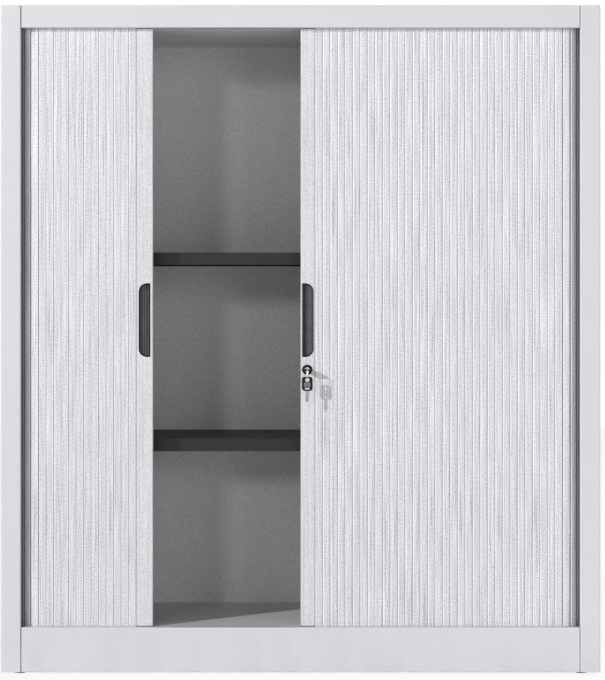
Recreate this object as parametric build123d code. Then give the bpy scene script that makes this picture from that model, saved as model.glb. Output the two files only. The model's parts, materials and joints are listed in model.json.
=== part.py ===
from build123d import *
import math
import os

# Steel storage cabinet with two side-opening roller shutters.
#
# The origin is at the bottom centre of the box round the whole cabinet, with the key ring included.
# X runs to the right, Y to the back and Z up. Sizes are in millimetres.

# ---------------------------------------------------------------------------------------------
# Driving dimensions
# ---------------------------------------------------------------------------------------------

WIDTH = 1200.0
DEPTH = 430.0
HEIGHT = 1340.0
FOOT_HEIGHT = 5.0
SHEET = 1.2

STILE_WIDTH = 40.0
STILE_RETURN = 12.0
BEND = 2.2
PLINTH_HEIGHT = 90.0
FASCIA_HEIGHT = 45.0
FASCIA_LIP = 11.5
FASCIA_HEM = 6.0
PLINTH_FOLD = 20.0
TOP_FOLD = 25.0
TOP_END_FOLD = 15.0
PAN_FOLD = 25.0
FOOT_FLANGE = 20.0
PANEL_GAP = 1.5
FIT = 0.3

SLAT_PITCH = 15.05
SLAT_OUTER = 4.0
SLAT_INNER = 2.8
SLATS_PER_SHUTTER = 38
CORNER_SLATS = 4
SIDE_SLATS = 21
LEFT_FRONT_SLATS = 13
RIGHT_FRONT_SLATS = 33
SHUTTER_SETBACK = 15.0

TRACK_HEIGHT = 12.0
TRACK_WIDTH = 14.0
GROOVE_WIDTH = 9.6
GROOVE_DEPTH = 9.0
REAR_RUN = 150.0
RUN_CLEARANCE = 0.3

SHELF_TOPS = {"lower_shelf": 468.5, "upper_shelf": 846.0}
SHELF_THICKNESS = 25.0
SHELF_SETBACK = 60.0
SHELF_LIP = 14.0
CLIP_SLOT_PITCH = 64.0
CLIP_SLOT_ROWS = 17
CLIP_SLOT = (3.0, 12.0)
CLIP_WIDTH = 14.0
CLIP_SHEET = 1.5

LEAD_GAP = 0.25
LEFT_LEAD_WIDTH = 34.5
LEAD_DEPTH = 26.0
LEAD_WALL = 1.4
LEAD_PROUD = 0.5
LEAD_END_GAP = 1.3
LEAD_HINGE = 2.1
LEAD_EDGE = 1.0
GLIDE_PLUG = 12.0
GLIDE_TONGUE = 8.0

HANDLE_LOW = 636.0
HANDLE_HEIGHT = 147.0
HANDLE_WIDTH = 22.0
HANDLE_DEPTH = 12.0
HANDLE_CORNER = 16.0
HANDLE_WALL = 1.2
HANDLE_PROUD = 0.8
HANDLE_FLANGE = 1.0
HANDLE_RIB = 1.2

LOCK_X = 13.5
LOCK_Z = 610.0
LOCK_RADIUS = 8.0
PLUG_RADIUS = 6.0
BARREL_LENGTH = 19.6
HOOK_THICKNESS = 2.4

KEY_HEAD_LENGTH = 28.0
KEY_HEAD_WIDTH = 21.5
KEY_HEAD_THICKNESS = 3.0
KEY_BLADE_LENGTH = 22.0
KEY_BLADE_WIDTH = 7.4
KEY_BLADE_THICKNESS = 2.0
KEY_HOLE_RADIUS = 3.5
KEY_HOLE_MARGIN = 2.5
RING_RADIUS = 10.0
RING_WIRE = 0.75

FOOT_RADIUS = 12.5
FOOT_INSET = 35.0
STUD_RADIUS = 4.0
STUD_TOP = 42.0

# ---------------------------------------------------------------------------------------------
# Places worked out from the driving dimensions
# ---------------------------------------------------------------------------------------------

HALF = WIDTH / 2
STILE_EDGE = HALF - STILE_WIDTH
PLINTH_TOP = FOOT_HEIGHT + PLINTH_HEIGHT
FASCIA_BOTTOM = HEIGHT - FASCIA_HEIGHT

CORNER_STEP = 90.0 / CORNER_SLATS
CORNER_RADIUS = SLAT_PITCH / 2 / math.sin(math.radians(CORNER_STEP / 2))
CORNER_X = 30.0 + RIGHT_FRONT_SLATS * SLAT_PITCH
SIDE_RUN = SIDE_SLATS * SLAT_PITCH
SHUTTER_DEPTH = SHUTTER_SETBACK + SLAT_OUTER
REAR_DEPTH = SHUTTER_DEPTH + 2 * CORNER_RADIUS + SIDE_RUN
POCKET_X = CORNER_X + CORNER_RADIUS

TRACK_INNER_X = POCKET_X - TRACK_WIDTH / 2
PAN_TOP = PLINTH_TOP - TRACK_HEIGHT
LINER_BOTTOM = FASCIA_BOTTOM + TRACK_HEIGHT
LINER_DEPTHS = (STILE_RETURN + 1.0, DEPTH - 5.0)
SLAT_LOW = PLINTH_TOP - GROOVE_DEPTH + RUN_CLEARANCE
SLAT_HIGH = FASCIA_BOTTOM + GROOVE_DEPTH - RUN_CLEARANCE

INNER_WALL_X = TRACK_INNER_X - 2.7
INNER_BACK = REAR_DEPTH - TRACK_WIDTH / 2 - 5.2
LEFT_LEAD_OUTER = CORNER_X - LEFT_FRONT_SLATS * SLAT_PITCH
RIGHT_LEAD_OUTER = CORNER_X - RIGHT_FRONT_SLATS * SLAT_PITCH

LEAD_FACE = SHUTTER_SETBACK - LEAD_PROUD
LOCK_FACE = LEAD_FACE - 1.5
KEY_START = LOCK_FACE - 1.2
KEY_END = KEY_START - KEY_HEAD_LENGTH
RING_HANG = 3.0
RING_DEPTH = KEY_END + KEY_HOLE_MARGIN / 2 - RING_HANG
RING_DROP = 6.6
RING_FRONT = RING_DEPTH - RING_RADIUS - RING_WIRE

FRONT = -(DEPTH + RING_FRONT) / 2


def block(x_range, depth_range, z_range):
    """A box between three ranges. Depths count backwards from the cabinet's front face."""
    sizes = [high - low for low, high in (x_range, depth_range, z_range)]
    middle = [(low + high) / 2 for low, high in (x_range, depth_range, z_range)]
    return Pos(middle[0], FRONT + middle[1], middle[2]) * Box(*sizes)


def mirrored(shape):
    """The same shape on the other side of the cabinet."""
    return mirror(shape, about=Plane.YZ)


def upright(outline, low, high):
    """A plan outline in X and depth, pulled up from one height to another."""
    return Pos(0, FRONT, low) * extrude(outline, high - low)


def polygon(points):
    """A closed face through a few corner points."""
    return make_face(Polyline(*points, close=True))


def rod_along_depth(x, z, radius, depth_range):
    """A round bar that runs from front to back."""
    low, high = depth_range
    place = Pos(x, FRONT + (low + high) / 2, z) * Rot(90, 0, 0)
    return place * Cylinder(radius, high - low)


# ---------------------------------------------------------------------------------------------
# Carcass
# ---------------------------------------------------------------------------------------------


def side_panel():
    """The right side: one folded sheet with the front stile, its return, and a rear flange as wide."""
    outer, inner = HALF, HALF - SHEET
    outline = polygon(
        [
            (STILE_EDGE, 0),
            (outer, 0),
            (outer, DEPTH),
            (STILE_EDGE, DEPTH),
            (STILE_EDGE, DEPTH - SHEET),
            (inner, DEPTH - SHEET),
            (inner, SHEET),
            (STILE_EDGE + SHEET, SHEET),
            (STILE_EDGE + SHEET, STILE_RETURN),
            (STILE_EDGE, STILE_RETURN),
        ]
    )
    front_bends = outline.vertices().filter_by(lambda v: v.Y == 0)
    rear_bend = outline.vertices().filter_by(lambda v: v.Y == DEPTH and v.X == outer)
    outline = fillet(front_bends + rear_bend, BEND)
    skin = upright(outline, FOOT_HEIGHT, HEIGHT)
    cap = block((STILE_EDGE + SHEET, inner), (SHEET, DEPTH - SHEET), (HEIGHT - SHEET, HEIGHT))
    low = (FOOT_HEIGHT, FOOT_HEIGHT + SHEET)
    low_flange = block((outer - FOOT_FLANGE, inner), (SHEET, DEPTH - SHEET), low)
    return skin + cap + low_flange


def top_panel():
    """Top sheet with the fascia folded down in front, and folds at the back and both ends."""
    reach = STILE_EDGE - PANEL_GAP
    back = DEPTH - SHEET - FIT
    lip = FASCIA_LIP
    side = polygon(
        [
            (0, FASCIA_BOTTOM),
            (0, HEIGHT),
            (back, HEIGHT),
            (back, HEIGHT - TOP_FOLD),
            (back - SHEET, HEIGHT - TOP_FOLD),
            (back - SHEET, HEIGHT - SHEET),
            (SHEET, HEIGHT - SHEET),
            (SHEET, FASCIA_BOTTOM + SHEET),
            (lip - SHEET, FASCIA_BOTTOM + SHEET),
            (lip - SHEET, FASCIA_BOTTOM + FASCIA_HEM),
            (lip, FASCIA_BOTTOM + FASCIA_HEM),
            (lip, FASCIA_BOTTOM),
        ]
    )
    side = fillet(side.vertices().filter_by(lambda v: v.X == 0), BEND)
    folded = Pos(-reach, FRONT, 0) * extrude(Plane.YZ * side, 2 * reach)
    end_depths = (LINER_DEPTHS[0] + SHEET + FIT, LINER_DEPTHS[1] - SHEET - FIT)
    end = block((reach - SHEET, reach), end_depths, (HEIGHT - TOP_END_FOLD, HEIGHT - SHEET))
    return folded + end + mirrored(end)


def folded_tray(half_width, depths, face_z, fold, up):
    """A flat sheet with all four edges folded the same way, up or down."""
    front, back = depths
    sheet = block((-half_width, half_width), depths, (face_z, face_z + SHEET))
    folds = (face_z, face_z + fold) if up else (face_z + SHEET - fold, face_z + SHEET)
    sheet += block((-half_width, half_width), (front, front + SHEET), folds)
    sheet += block((-half_width, half_width), (back - SHEET, back), folds)
    end = block((half_width - SHEET, half_width), depths, folds)
    return sheet + end + mirrored(end)


def roof_liner():
    """The sheet over the ceiling, folded up to the top panel; the top tracks hang under it."""
    fold = HEIGHT - SHEET - LINER_BOTTOM
    return folded_tray(HALF - SHEET, LINER_DEPTHS, LINER_BOTTOM, fold, True)


def base_pan():
    """The sheet under the deck, folded down all round; the bottom tracks stand on it."""
    return folded_tray(HALF - SHEET, LINER_DEPTHS, PAN_TOP - SHEET, PAN_FOLD, False)


def plinth():
    """Front kick plate, folded back at its top and bottom."""
    reach = STILE_EDGE - PANEL_GAP
    bottom = FOOT_HEIGHT
    side = polygon(
        [
            (0, bottom),
            (0, PLINTH_TOP),
            (FASCIA_LIP, PLINTH_TOP),
            (FASCIA_LIP, PLINTH_TOP - SHEET),
            (SHEET, PLINTH_TOP - SHEET),
            (SHEET, bottom + SHEET),
            (PLINTH_FOLD, bottom + SHEET),
            (PLINTH_FOLD, bottom),
        ]
    )
    side = fillet(side.vertices().filter_by(lambda v: v.X == 0), BEND)
    return Pos(-reach, FRONT, 0) * extrude(Plane.YZ * side, 2 * reach)


def back_panel():
    """Outer back sheet behind the shutter pockets, inside the sides' rear flanges."""
    reach = HALF - SHEET - PANEL_GAP
    back = DEPTH - SHEET
    return block((-reach, reach), (back - SHEET, back), (FOOT_HEIGHT + 2 * SHEET, HEIGHT - TOP_FOLD - 1.0))


def inner_back():
    """The wall seen behind the shelves; the shutters' tails run behind it."""
    reach = INNER_WALL_X - SHEET
    sheet = block((-reach, reach), (INNER_BACK, INNER_BACK + SHEET), (PLINTH_TOP, FASCIA_BOTTOM))
    fold_depths = (INNER_BACK - SHELF_LIP, INNER_BACK)
    fold = block((-reach, reach), fold_depths, (FASCIA_BOTTOM - SHEET, FASCIA_BOTTOM))
    return sheet + fold


def clip_columns():
    """Depths of the two slot columns in each inner side wall."""
    return (SHELF_SETBACK + 40.0, INNER_BACK - 40.0)


def clip_height(shelf_top):
    """Height of the slot that holds a clip under a shelf with its top at this height."""
    return shelf_top - SHELF_THICKNESS - 3.0


def clip_heights():
    """Heights of the slots' centres, set so that one row lies just under each shelf."""
    lower, upper = [clip_height(top) for top in SHELF_TOPS.values()]
    first = lower - 4 * CLIP_SLOT_PITCH
    rows = [first + CLIP_SLOT_PITCH * index for index in range(CLIP_SLOT_ROWS)]
    return [upper if abs(row - upper) < CLIP_SLOT_PITCH / 2 else row for row in rows]


def inner_side():
    """Right inner side wall: flat sheet with a front flange and two columns of slots."""
    wall = (INNER_WALL_X - SHEET, INNER_WALL_X)
    heights = (PLINTH_TOP, FASCIA_BOTTOM)
    sheet = block(wall, (SHELF_SETBACK, INNER_BACK + 3.0), heights)
    flange = (INNER_WALL_X - SHELF_LIP, INNER_WALL_X)
    sheet += block(flange, (SHELF_SETBACK, SHELF_SETBACK + SHEET), heights)
    slot = block((wall[0] - 1, wall[1] + 1), (0, CLIP_SLOT[0]), (0, CLIP_SLOT[1]))
    slots = [
        Pos(0, depth - CLIP_SLOT[0] / 2, z - CLIP_SLOT[1] / 2) * slot
        for depth in clip_columns()
        for z in clip_heights()
    ]
    return sheet - slots


def shelf_clip(depth, z):
    """A bent steel clip: ledge under the shelf, tongue through the slot, lip behind the wall."""
    face = INNER_WALL_X - SHEET
    top = z + 3.0
    across = (depth - CLIP_WIDTH / 2, depth + CLIP_WIDTH / 2)
    tongue_depths = (depth - CLIP_SLOT[0] / 2 + FIT, depth + CLIP_SLOT[0] / 2 - FIT)
    behind = INNER_WALL_X + CLIP_SHEET
    ledge = block((face - CLIP_WIDTH, face), across, (top - CLIP_SHEET, top))
    plate = block((face - CLIP_SHEET, face), across, (top - CLIP_SLOT[1], top))
    tongue = block((face, behind), tongue_depths, (z - 4.5, z + 4.5))
    lip = block((INNER_WALL_X + FIT, behind), tongue_depths, (z - 8.5, z - 4.5))
    return ledge + plate + tongue + lip


def shelf_clips():
    """Four clips for each of the two shelves."""
    clips = []
    for top in SHELF_TOPS.values():
        for depth in clip_columns():
            clip = shelf_clip(depth, clip_height(top))
            clips += [clip, mirrored(clip)]
    return Compound(clips)


def shelf(top):
    """Folded steel shelf: four edges down, with the front and back edges returned underneath."""
    reach = INNER_WALL_X - SHEET - 2.0
    depths = (SHELF_SETBACK + 2.5, INNER_BACK - 2.0)
    low = top - SHELF_THICKNESS
    tray = folded_tray(reach, depths, top - SHEET, SHELF_THICKNESS, False)
    front_lip = block((-reach, reach), (depths[0], depths[0] + SHELF_LIP), (low, low + SHEET))
    back_lip = block((-reach, reach), (depths[1] - SHELF_LIP, depths[1]), (low, low + SHEET))
    return tray + front_lip + back_lip


def loop_tray(low, open_low):
    """A shallow tray that fills the loop of two tracks, open at its lower or its upper side."""
    reach = TRACK_INNER_X - FIT
    front = SHUTTER_DEPTH + TRACK_WIDTH / 2 + FIT
    back = REAR_DEPTH - TRACK_WIDTH / 2 - FIT
    radius = CORNER_RADIUS - TRACK_WIDTH / 2 - FIT
    middle = Pos(0, (front + back) / 2)
    outer = middle * RectangleRounded(2 * reach, back - front, radius)
    inner = middle * RectangleRounded(2 * (reach - SHEET), back - front - 2 * SHEET, radius - SHEET)
    tray = upright(outer, low, low + TRACK_HEIGHT)
    hollow_low = low if open_low else low + SHEET
    return tray - upright(inner, hollow_low, hollow_low + TRACK_HEIGHT - SHEET)


def deck():
    """Inside floor, flush with the tops of the bottom tracks."""
    return loop_tray(PAN_TOP, True)


def ceiling():
    """Inside roof, flush with the undersides of the top tracks."""
    return loop_tray(FASCIA_BOTTOM, False)


# ---------------------------------------------------------------------------------------------
# Shutter tracks
# ---------------------------------------------------------------------------------------------


def quarter_ring(centre, width, quarter_x, quarter_y):
    """A quarter of a ring round a corner's centre, on the sides that the two signs give."""
    ring = Circle(CORNER_RADIUS + width / 2) - Circle(CORNER_RADIUS - width / 2)
    reach = 2 * CORNER_RADIUS
    quarter = Pos(quarter_x * reach / 2, quarter_y * reach / 2) * Rectangle(reach, reach)
    return Pos(*centre) * (ring & quarter)


def track_band(width, start_x, rear_end):
    """Plan of the right-hand track: front run, corner, side run, corner and rear run."""
    corner_end = SHUTTER_DEPTH + CORNER_RADIUS
    rear_start = REAR_DEPTH - CORNER_RADIUS
    front_run = Pos((start_x + CORNER_X) / 2, SHUTTER_DEPTH) * Rectangle(CORNER_X - start_x, width)
    side_run = Pos(POCKET_X, (corner_end + rear_start) / 2) * Rectangle(width, SIDE_RUN)
    rear_run = Pos((rear_end + CORNER_X) / 2, REAR_DEPTH) * Rectangle(CORNER_X - rear_end, width)
    front_corner = quarter_ring((CORNER_X, corner_end), width, 1, -1)
    rear_corner = quarter_ring((CORNER_X, rear_start), width, 1, 1)
    return front_run + front_corner + side_run + rear_corner + rear_run


def track(low, groove_low):
    """Right-hand track with its groove; the groove's rear end stays closed as a stop."""
    start = LEAD_GAP
    rear_end = CORNER_X - REAR_RUN
    stop = 4.0
    bar = upright(track_band(TRACK_WIDTH, start, rear_end), low, low + TRACK_HEIGHT)
    groove = track_band(GROOVE_WIDTH, start - 1, rear_end + stop)
    return bar - upright(groove, groove_low, groove_low + GROOVE_DEPTH)


# ---------------------------------------------------------------------------------------------
# Shutters
# ---------------------------------------------------------------------------------------------


def hinge_point(index):
    """Where the hinge between two slats lies, and the way the track runs there.

    Index 0 is the start of the front corner. Indices below 0 lie on the front run and indices
    above the number of corner slats lie on the side run.
    """
    corner_end = SHUTTER_DEPTH + CORNER_RADIUS
    if index <= 0:
        return CORNER_X + index * SLAT_PITCH, SHUTTER_DEPTH
    if index <= CORNER_SLATS:
        angle = math.radians(index * CORNER_STEP)
        return CORNER_X + CORNER_RADIUS * math.sin(angle), corner_end - CORNER_RADIUS * math.cos(angle)
    return POCKET_X, corner_end + (index - CORNER_SLATS) * SLAT_PITCH


def catch_outline():
    """Section of the channel that takes the next slat's finger, about the hinge between the two."""
    return polygon([(-2.1, 1.9), (1.1, 1.9), (1.1, -0.6), (1.8, -0.6), (1.8, SLAT_INNER), (-2.1, SLAT_INNER)])


def slat_outline():
    """Section of one slat: X along the shutter away from its lead rail, Y to its inner face.

    A flat outer skin covers a stiff body. On the lead side the skin turns down into a finger, and
    on the far side a channel takes the next slat's finger, so that the slats hook into each other
    and can turn inwards at the corner.
    """
    skin_inner = 1.2 - SLAT_OUTER
    far = SLAT_PITCH
    return polygon(
        [
            (-0.6, -SLAT_OUTER),
            (far - 1.6, -SLAT_OUTER),
            (far - 1.6, skin_inner),
            (far - 2.1, skin_inner),
            (far - 2.1, 1.9),
            (far + 1.1, 1.9),
            (far + 1.1, -0.6),
            (far + 1.8, -0.6),
            (far + 1.8, SLAT_INNER),
            (3.3, SLAT_INNER),
            (3.3, skin_inner),
            (0.6, skin_inner),
            (0.6, 1.5),
            (-0.6, 1.5),
        ]
    )


def slats(first, count):
    """A stretch of the right shutter, slat by slat along the track from hinge number first."""
    section = slat_outline()
    length = SLAT_HIGH - SLAT_LOW
    slat = extrude(section, length)
    pieces = []
    for index in range(first, first + count):
        x, depth = hinge_point(index)
        next_x, next_depth = hinge_point(index + 1)
        heading = math.degrees(math.atan2(next_depth - depth, next_x - x))
        pieces.append(Pos(x, FRONT + depth, SLAT_LOW) * Rot(0, 0, heading) * slat)
    return Compound(pieces)


def lead_rail(inner_x, outer_x, cutters):
    """Right-hand lead rail: hollow bar with a channel along its outer edge for the first slat."""
    front, back = LEAD_FACE, LEAD_FACE + LEAD_DEPTH
    body_end = outer_x - LEAD_HINGE
    lip_end = outer_x - 1.6
    outer = Pos((inner_x + body_end) / 2, (front + back) / 2) * Rectangle(body_end - inner_x, LEAD_DEPTH)
    inner = Pos((inner_x + body_end) / 2, (front + back) / 2) * Rectangle(
        body_end - inner_x - 2 * LEAD_WALL, LEAD_DEPTH - 2 * LEAD_WALL
    )
    outer = fillet(outer.vertices().group_by(Axis.X)[0], LEAD_EDGE)
    lip_place = Pos((body_end - LEAD_EDGE + lip_end) / 2, front + LEAD_WALL / 2)
    lip = lip_place * Rectangle(lip_end - body_end + LEAD_EDGE, LEAD_WALL)
    section = outer - inner + lip + Pos(outer_x, SHUTTER_DEPTH) * catch_outline()
    rail = upright(section, PLINTH_TOP + LEAD_END_GAP, FASCIA_BOTTOM - LEAD_END_GAP)
    return rail - cutters


def rail_glides(inner_x, outer_x):
    """Plastic plugs in both ends of a lead rail, each with a tongue in the track's groove."""
    plug_x = (inner_x + LEAD_WALL, outer_x - LEAD_HINGE - LEAD_WALL)
    plug_depth = (LEAD_FACE + LEAD_WALL, LEAD_FACE + LEAD_DEPTH - LEAD_WALL)
    tongue_x = (inner_x + 1.0, outer_x - 3.2)
    tongue_depth = (SHUTTER_DEPTH - GLIDE_TONGUE / 2, SHUTTER_DEPTH + GLIDE_TONGUE / 2)
    low_end, high_end = PLINTH_TOP + LEAD_END_GAP, FASCIA_BOTTOM - LEAD_END_GAP
    low_plug = block(plug_x, plug_depth, (low_end, low_end + GLIDE_PLUG))
    low_tongue = block(tongue_x, tongue_depth, (SLAT_LOW, low_end))
    high_plug = block(plug_x, plug_depth, (high_end - GLIDE_PLUG, high_end))
    high_tongue = block(tongue_x, tongue_depth, (high_end, SLAT_HIGH))
    return Compound([low_plug + low_tongue, high_plug + high_tongue])


# ---------------------------------------------------------------------------------------------
# Handles
# ---------------------------------------------------------------------------------------------


def handle_outline(inner_x, grow):
    """D-shaped outline in X and Z: straight towards the leading edge, round on the other side."""
    width, height = HANDLE_WIDTH + 2 * grow, HANDLE_HEIGHT + 2 * grow
    middle_z = HANDLE_LOW + HANDLE_HEIGHT / 2
    face = Pos(inner_x + HANDLE_WIDTH / 2, middle_z) * Rectangle(width, height)
    return fillet(face.vertices().group_by(Axis.X)[-1], HANDLE_CORNER + grow)


def handle_prism(inner_x, grow, depth_range):
    """The handle's outline carried through a range of depths."""
    low, high = depth_range
    face = Plane.XZ * handle_outline(inner_x, grow)
    return Pos(0, FRONT + high, 0) * extrude(face, high - low)


def handle_cup(inner_x):
    """Moulded finger cup with a thin flange on the rail's face and three grip ribs inside."""
    face = LEAD_FACE
    floor = face + HANDLE_DEPTH
    cup = handle_prism(inner_x, 0.0, (face - HANDLE_PROUD, floor))
    cup += handle_prism(inner_x, HANDLE_FLANGE, (face - HANDLE_PROUD, face))
    cup -= handle_prism(inner_x, -HANDLE_WALL, (face - 2 * HANDLE_PROUD, floor - HANDLE_WALL))
    rib_depths = (floor - HANDLE_WALL - HANDLE_RIB, floor - HANDLE_WALL)
    rib_heights = (HANDLE_LOW + HANDLE_CORNER, HANDLE_LOW + HANDLE_HEIGHT - HANDLE_CORNER)
    for share in (0.3, 0.5, 0.7):
        x = inner_x + share * HANDLE_WIDTH
        cup += block((x - HANDLE_RIB / 2, x + HANDLE_RIB / 2), rib_depths, rib_heights)
    return cup


# ---------------------------------------------------------------------------------------------
# Lock and keys
# ---------------------------------------------------------------------------------------------


def lock_rod(radius, depth_range):
    """A round bar on the lock's axis."""
    return rod_along_depth(LOCK_X, LOCK_Z, radius, depth_range)


def lock_body():
    """Lock cylinder: face ring outside the rail, threaded barrel inside, bored for the plug."""
    ring = lock_rod(LOCK_RADIUS + 1.5, (LOCK_FACE, LEAD_FACE))
    ring = chamfer(ring.edges().filter_by(GeomType.CIRCLE).group_by(Axis.Y)[0], 0.6)
    barrel = lock_rod(LOCK_RADIUS, (LEAD_FACE, LEAD_FACE + BARREL_LENGTH))
    return ring + barrel - lock_rod(PLUG_RADIUS + 0.06, (LOCK_FACE - 1, LEAD_FACE + BARREL_LENGTH + 1))


def lock_nut():
    """Hexagon nut that clamps the cylinder to the rail's front wall."""
    low = LEAD_FACE + LEAD_WALL
    hexagon = Plane.XZ * (Pos(LOCK_X, LOCK_Z) * RegularPolygon(11.0, 6))
    nut = Pos(0, FRONT + low + 3.0, 0) * extrude(hexagon, 3.0)
    return nut - lock_rod(LOCK_RADIUS + 0.05, (low - 1, low + 4))


def plug_end():
    """Depth at which the plug's round part ends and its square begins."""
    return LEAD_FACE + BARREL_LENGTH + 0.2


def lock_plug():
    """Turning core with its keyway, and a square behind the cylinder for the hook."""
    end = plug_end()
    plug = lock_rod(PLUG_RADIUS, (LOCK_FACE + 0.2, end))
    square = block((LOCK_X - 3, LOCK_X + 3), (end, end + HOOK_THICKNESS + 0.1), (LOCK_Z - 3, LOCK_Z + 3))
    keyway = block(
        (LOCK_X - KEY_BLADE_WIDTH / 2 - 0.25, LOCK_X + KEY_BLADE_WIDTH / 2 + 0.25),
        (LOCK_FACE - 1, KEY_START + KEY_BLADE_LENGTH + 0.3),
        (LOCK_Z - KEY_BLADE_THICKNESS / 2 - 0.2, LOCK_Z + KEY_BLADE_THICKNESS / 2 + 0.2),
    )
    return plug + square - keyway


def hook_outline():
    """Hook bolt in X and Z about the lock's axis, hanging down, with its nose to the left."""
    return polygon(
        [
            (-4.0, 5.0),
            (4.0, 5.0),
            (4.0, -22.0),
            (-9.0, -22.0),
            (-9.0, -18.0),
            (-4.0, -18.0),
        ]
    )


def hook_bolt():
    """Flat steel hook on the plug's square."""
    face = fillet(hook_outline().vertices().group_by(Axis.Y)[0], 1.5) - Rectangle(6.2, 6.2)
    plate = extrude(Plane.XZ * (Pos(LOCK_X, LOCK_Z) * face), HOOK_THICKNESS)
    return Pos(0, FRONT + plug_end() + HOOK_THICKNESS, 0) * plate


def hook_screw():
    """Screw that holds the hook on the plug."""
    low = plug_end() + HOOK_THICKNESS + 0.1
    return lock_rod(4.2, (low, low + 1.8))


def hook_slot(x_range):
    """Cutter for the hook's way through a rail's leading wall."""
    depths = (plug_end() - 0.6, plug_end() + HOOK_THICKNESS + 0.6)
    return block(x_range, depths, (LOCK_Z - 23.0, LOCK_Z + 6.0))


def strike_plate():
    """Steel plate behind the left rail's leading wall, slotted for the hook."""
    wall = LEFT_LEAD_OUTER - LEFT_LEAD_WIDTH + LEAD_WALL
    depths = (LEAD_FACE + LEAD_WALL + 0.4, LEAD_FACE + LEAD_DEPTH - LEAD_WALL - 0.4)
    plate = block((wall, wall + 1.6), depths, (LOCK_Z - 35, LOCK_Z + 18))
    return plate - hook_slot((wall - 1, wall + 3))


def key_parts():
    """Blade and head of a key, laid along depth with the head in front and its face up."""
    blade = block(
        (-KEY_BLADE_WIDTH / 2, KEY_BLADE_WIDTH / 2),
        (0, KEY_BLADE_LENGTH),
        (-KEY_BLADE_THICKNESS / 2, KEY_BLADE_THICKNESS / 2),
    )
    tip = blade.edges().filter_by(Axis.Z).group_by(Axis.Y)[-1]
    blade = chamfer(tip, 2.4)
    cuts = [
        block((KEY_BLADE_WIDTH / 2 - depth, 5), (place, place + 2.2), (-2, 2))
        for place, depth in ((5.5, 1.0), (9.0, 1.8), (12.5, 0.8), (16.0, 1.5))
    ]
    outline = Pos(0, -KEY_HEAD_LENGTH / 2) * Rectangle(KEY_HEAD_WIDTH, KEY_HEAD_LENGTH)
    outline = fillet(outline.vertices().group_by(Axis.Y)[0], 5.0)
    outline = chamfer(outline.vertices().group_by(Axis.Y)[-1], 4.0)
    hole_y = -KEY_HEAD_LENGTH + KEY_HOLE_MARGIN + KEY_HOLE_RADIUS
    outline -= Pos(0, hole_y) * Circle(KEY_HOLE_RADIUS)
    head = Pos(0, FRONT, -KEY_HEAD_THICKNESS / 2) * extrude(outline, KEY_HEAD_THICKNESS)
    return blade - cuts, head


def place_lock_key(shape):
    """Put a key part in the lock."""
    return Pos(LOCK_X, KEY_START, LOCK_Z) * shape


def ring_centre():
    """Centre of the key ring, hanging from the end of the key in the lock."""
    return LOCK_X, FRONT + RING_DEPTH, LOCK_Z - RING_DROP


def key_ring():
    """Closed wire ring in an upright plane across the cabinet's front, of eight-sided wire."""
    wire = Plane.XZ * (Pos(RING_RADIUS, 0) * RegularPolygon(RING_WIRE, 8))
    return Pos(*ring_centre()) * Rot(0, 90, 0) * revolve(wire, Axis.Z)


def place_spare_key(shape):
    """Hang a key part on the ring: head up and facing the front, blade down."""
    x, y, z = ring_centre()
    hole_top = z - RING_RADIUS + RING_WIRE + 0.2
    head_end = hole_top + KEY_HOLE_MARGIN
    turned = Rot(-90, 0, 0) * (Pos(0, -FRONT, 0) * shape)
    return Pos(x, y, head_end - KEY_HEAD_LENGTH) * turned


# ---------------------------------------------------------------------------------------------
# Feet
# ---------------------------------------------------------------------------------------------

FOOT_PLACES = {
    "front_left": (-1, FOOT_INSET),
    "front_right": (1, FOOT_INSET),
    "back_left": (-1, DEPTH - FOOT_INSET),
    "back_right": (1, DEPTH - FOOT_INSET),
}


def foot_place(name):
    """Position of a foot's axis on the floor."""
    side, depth = FOOT_PLACES[name]
    return Pos(side * (HALF - FOOT_INSET), FRONT + depth, 0)


def foot_disc():
    """Round glide under the stud."""
    disc = Pos(0, 0, FOOT_HEIGHT / 2) * Cylinder(FOOT_RADIUS, FOOT_HEIGHT)
    return chamfer(disc.edges().filter_by(GeomType.CIRCLE).group_by(Axis.Z)[-1], 0.8)


def foot_stud():
    """Levelling stud with a screwdriver slot in its top end."""
    low = FOOT_HEIGHT
    stud = Pos(0, 0, (low + STUD_TOP) / 2) * Cylinder(STUD_RADIUS, STUD_TOP - low)
    return stud - Pos(0, 0, STUD_TOP) * Box(10, 1.2, 4.0)


def foot_bracket(name):
    """Steel plate that ties the corner together, with a square hole under its cage nut."""
    side, depth = FOOT_PLACES[name]
    low = FOOT_HEIGHT + SHEET
    reach = 21.0
    plate = block(
        (HALF - FOOT_INSET - 33.0, HALF - SHEET - 0.3), (depth - reach, depth + reach), (low, low + 2.5)
    )
    plate = plate if side > 0 else mirrored(plate)
    return plate - foot_place(name) * Pos(0, 0, low) * Box(2 * STUD_RADIUS + 1, 2 * STUD_RADIUS + 1, 10)


def foot_nut(name):
    """Cage nut on the bracket."""
    low = FOOT_HEIGHT + SHEET + 2.5
    nut = Pos(0, 0, 3.25) * Box(13, 13, 6.5) - Pos(0, 0, 3) * Cylinder(STUD_RADIUS + 0.05, 10)
    return foot_place(name) * Pos(0, 0, low) * nut


# ---------------------------------------------------------------------------------------------
# Assembly
# ---------------------------------------------------------------------------------------------


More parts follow.
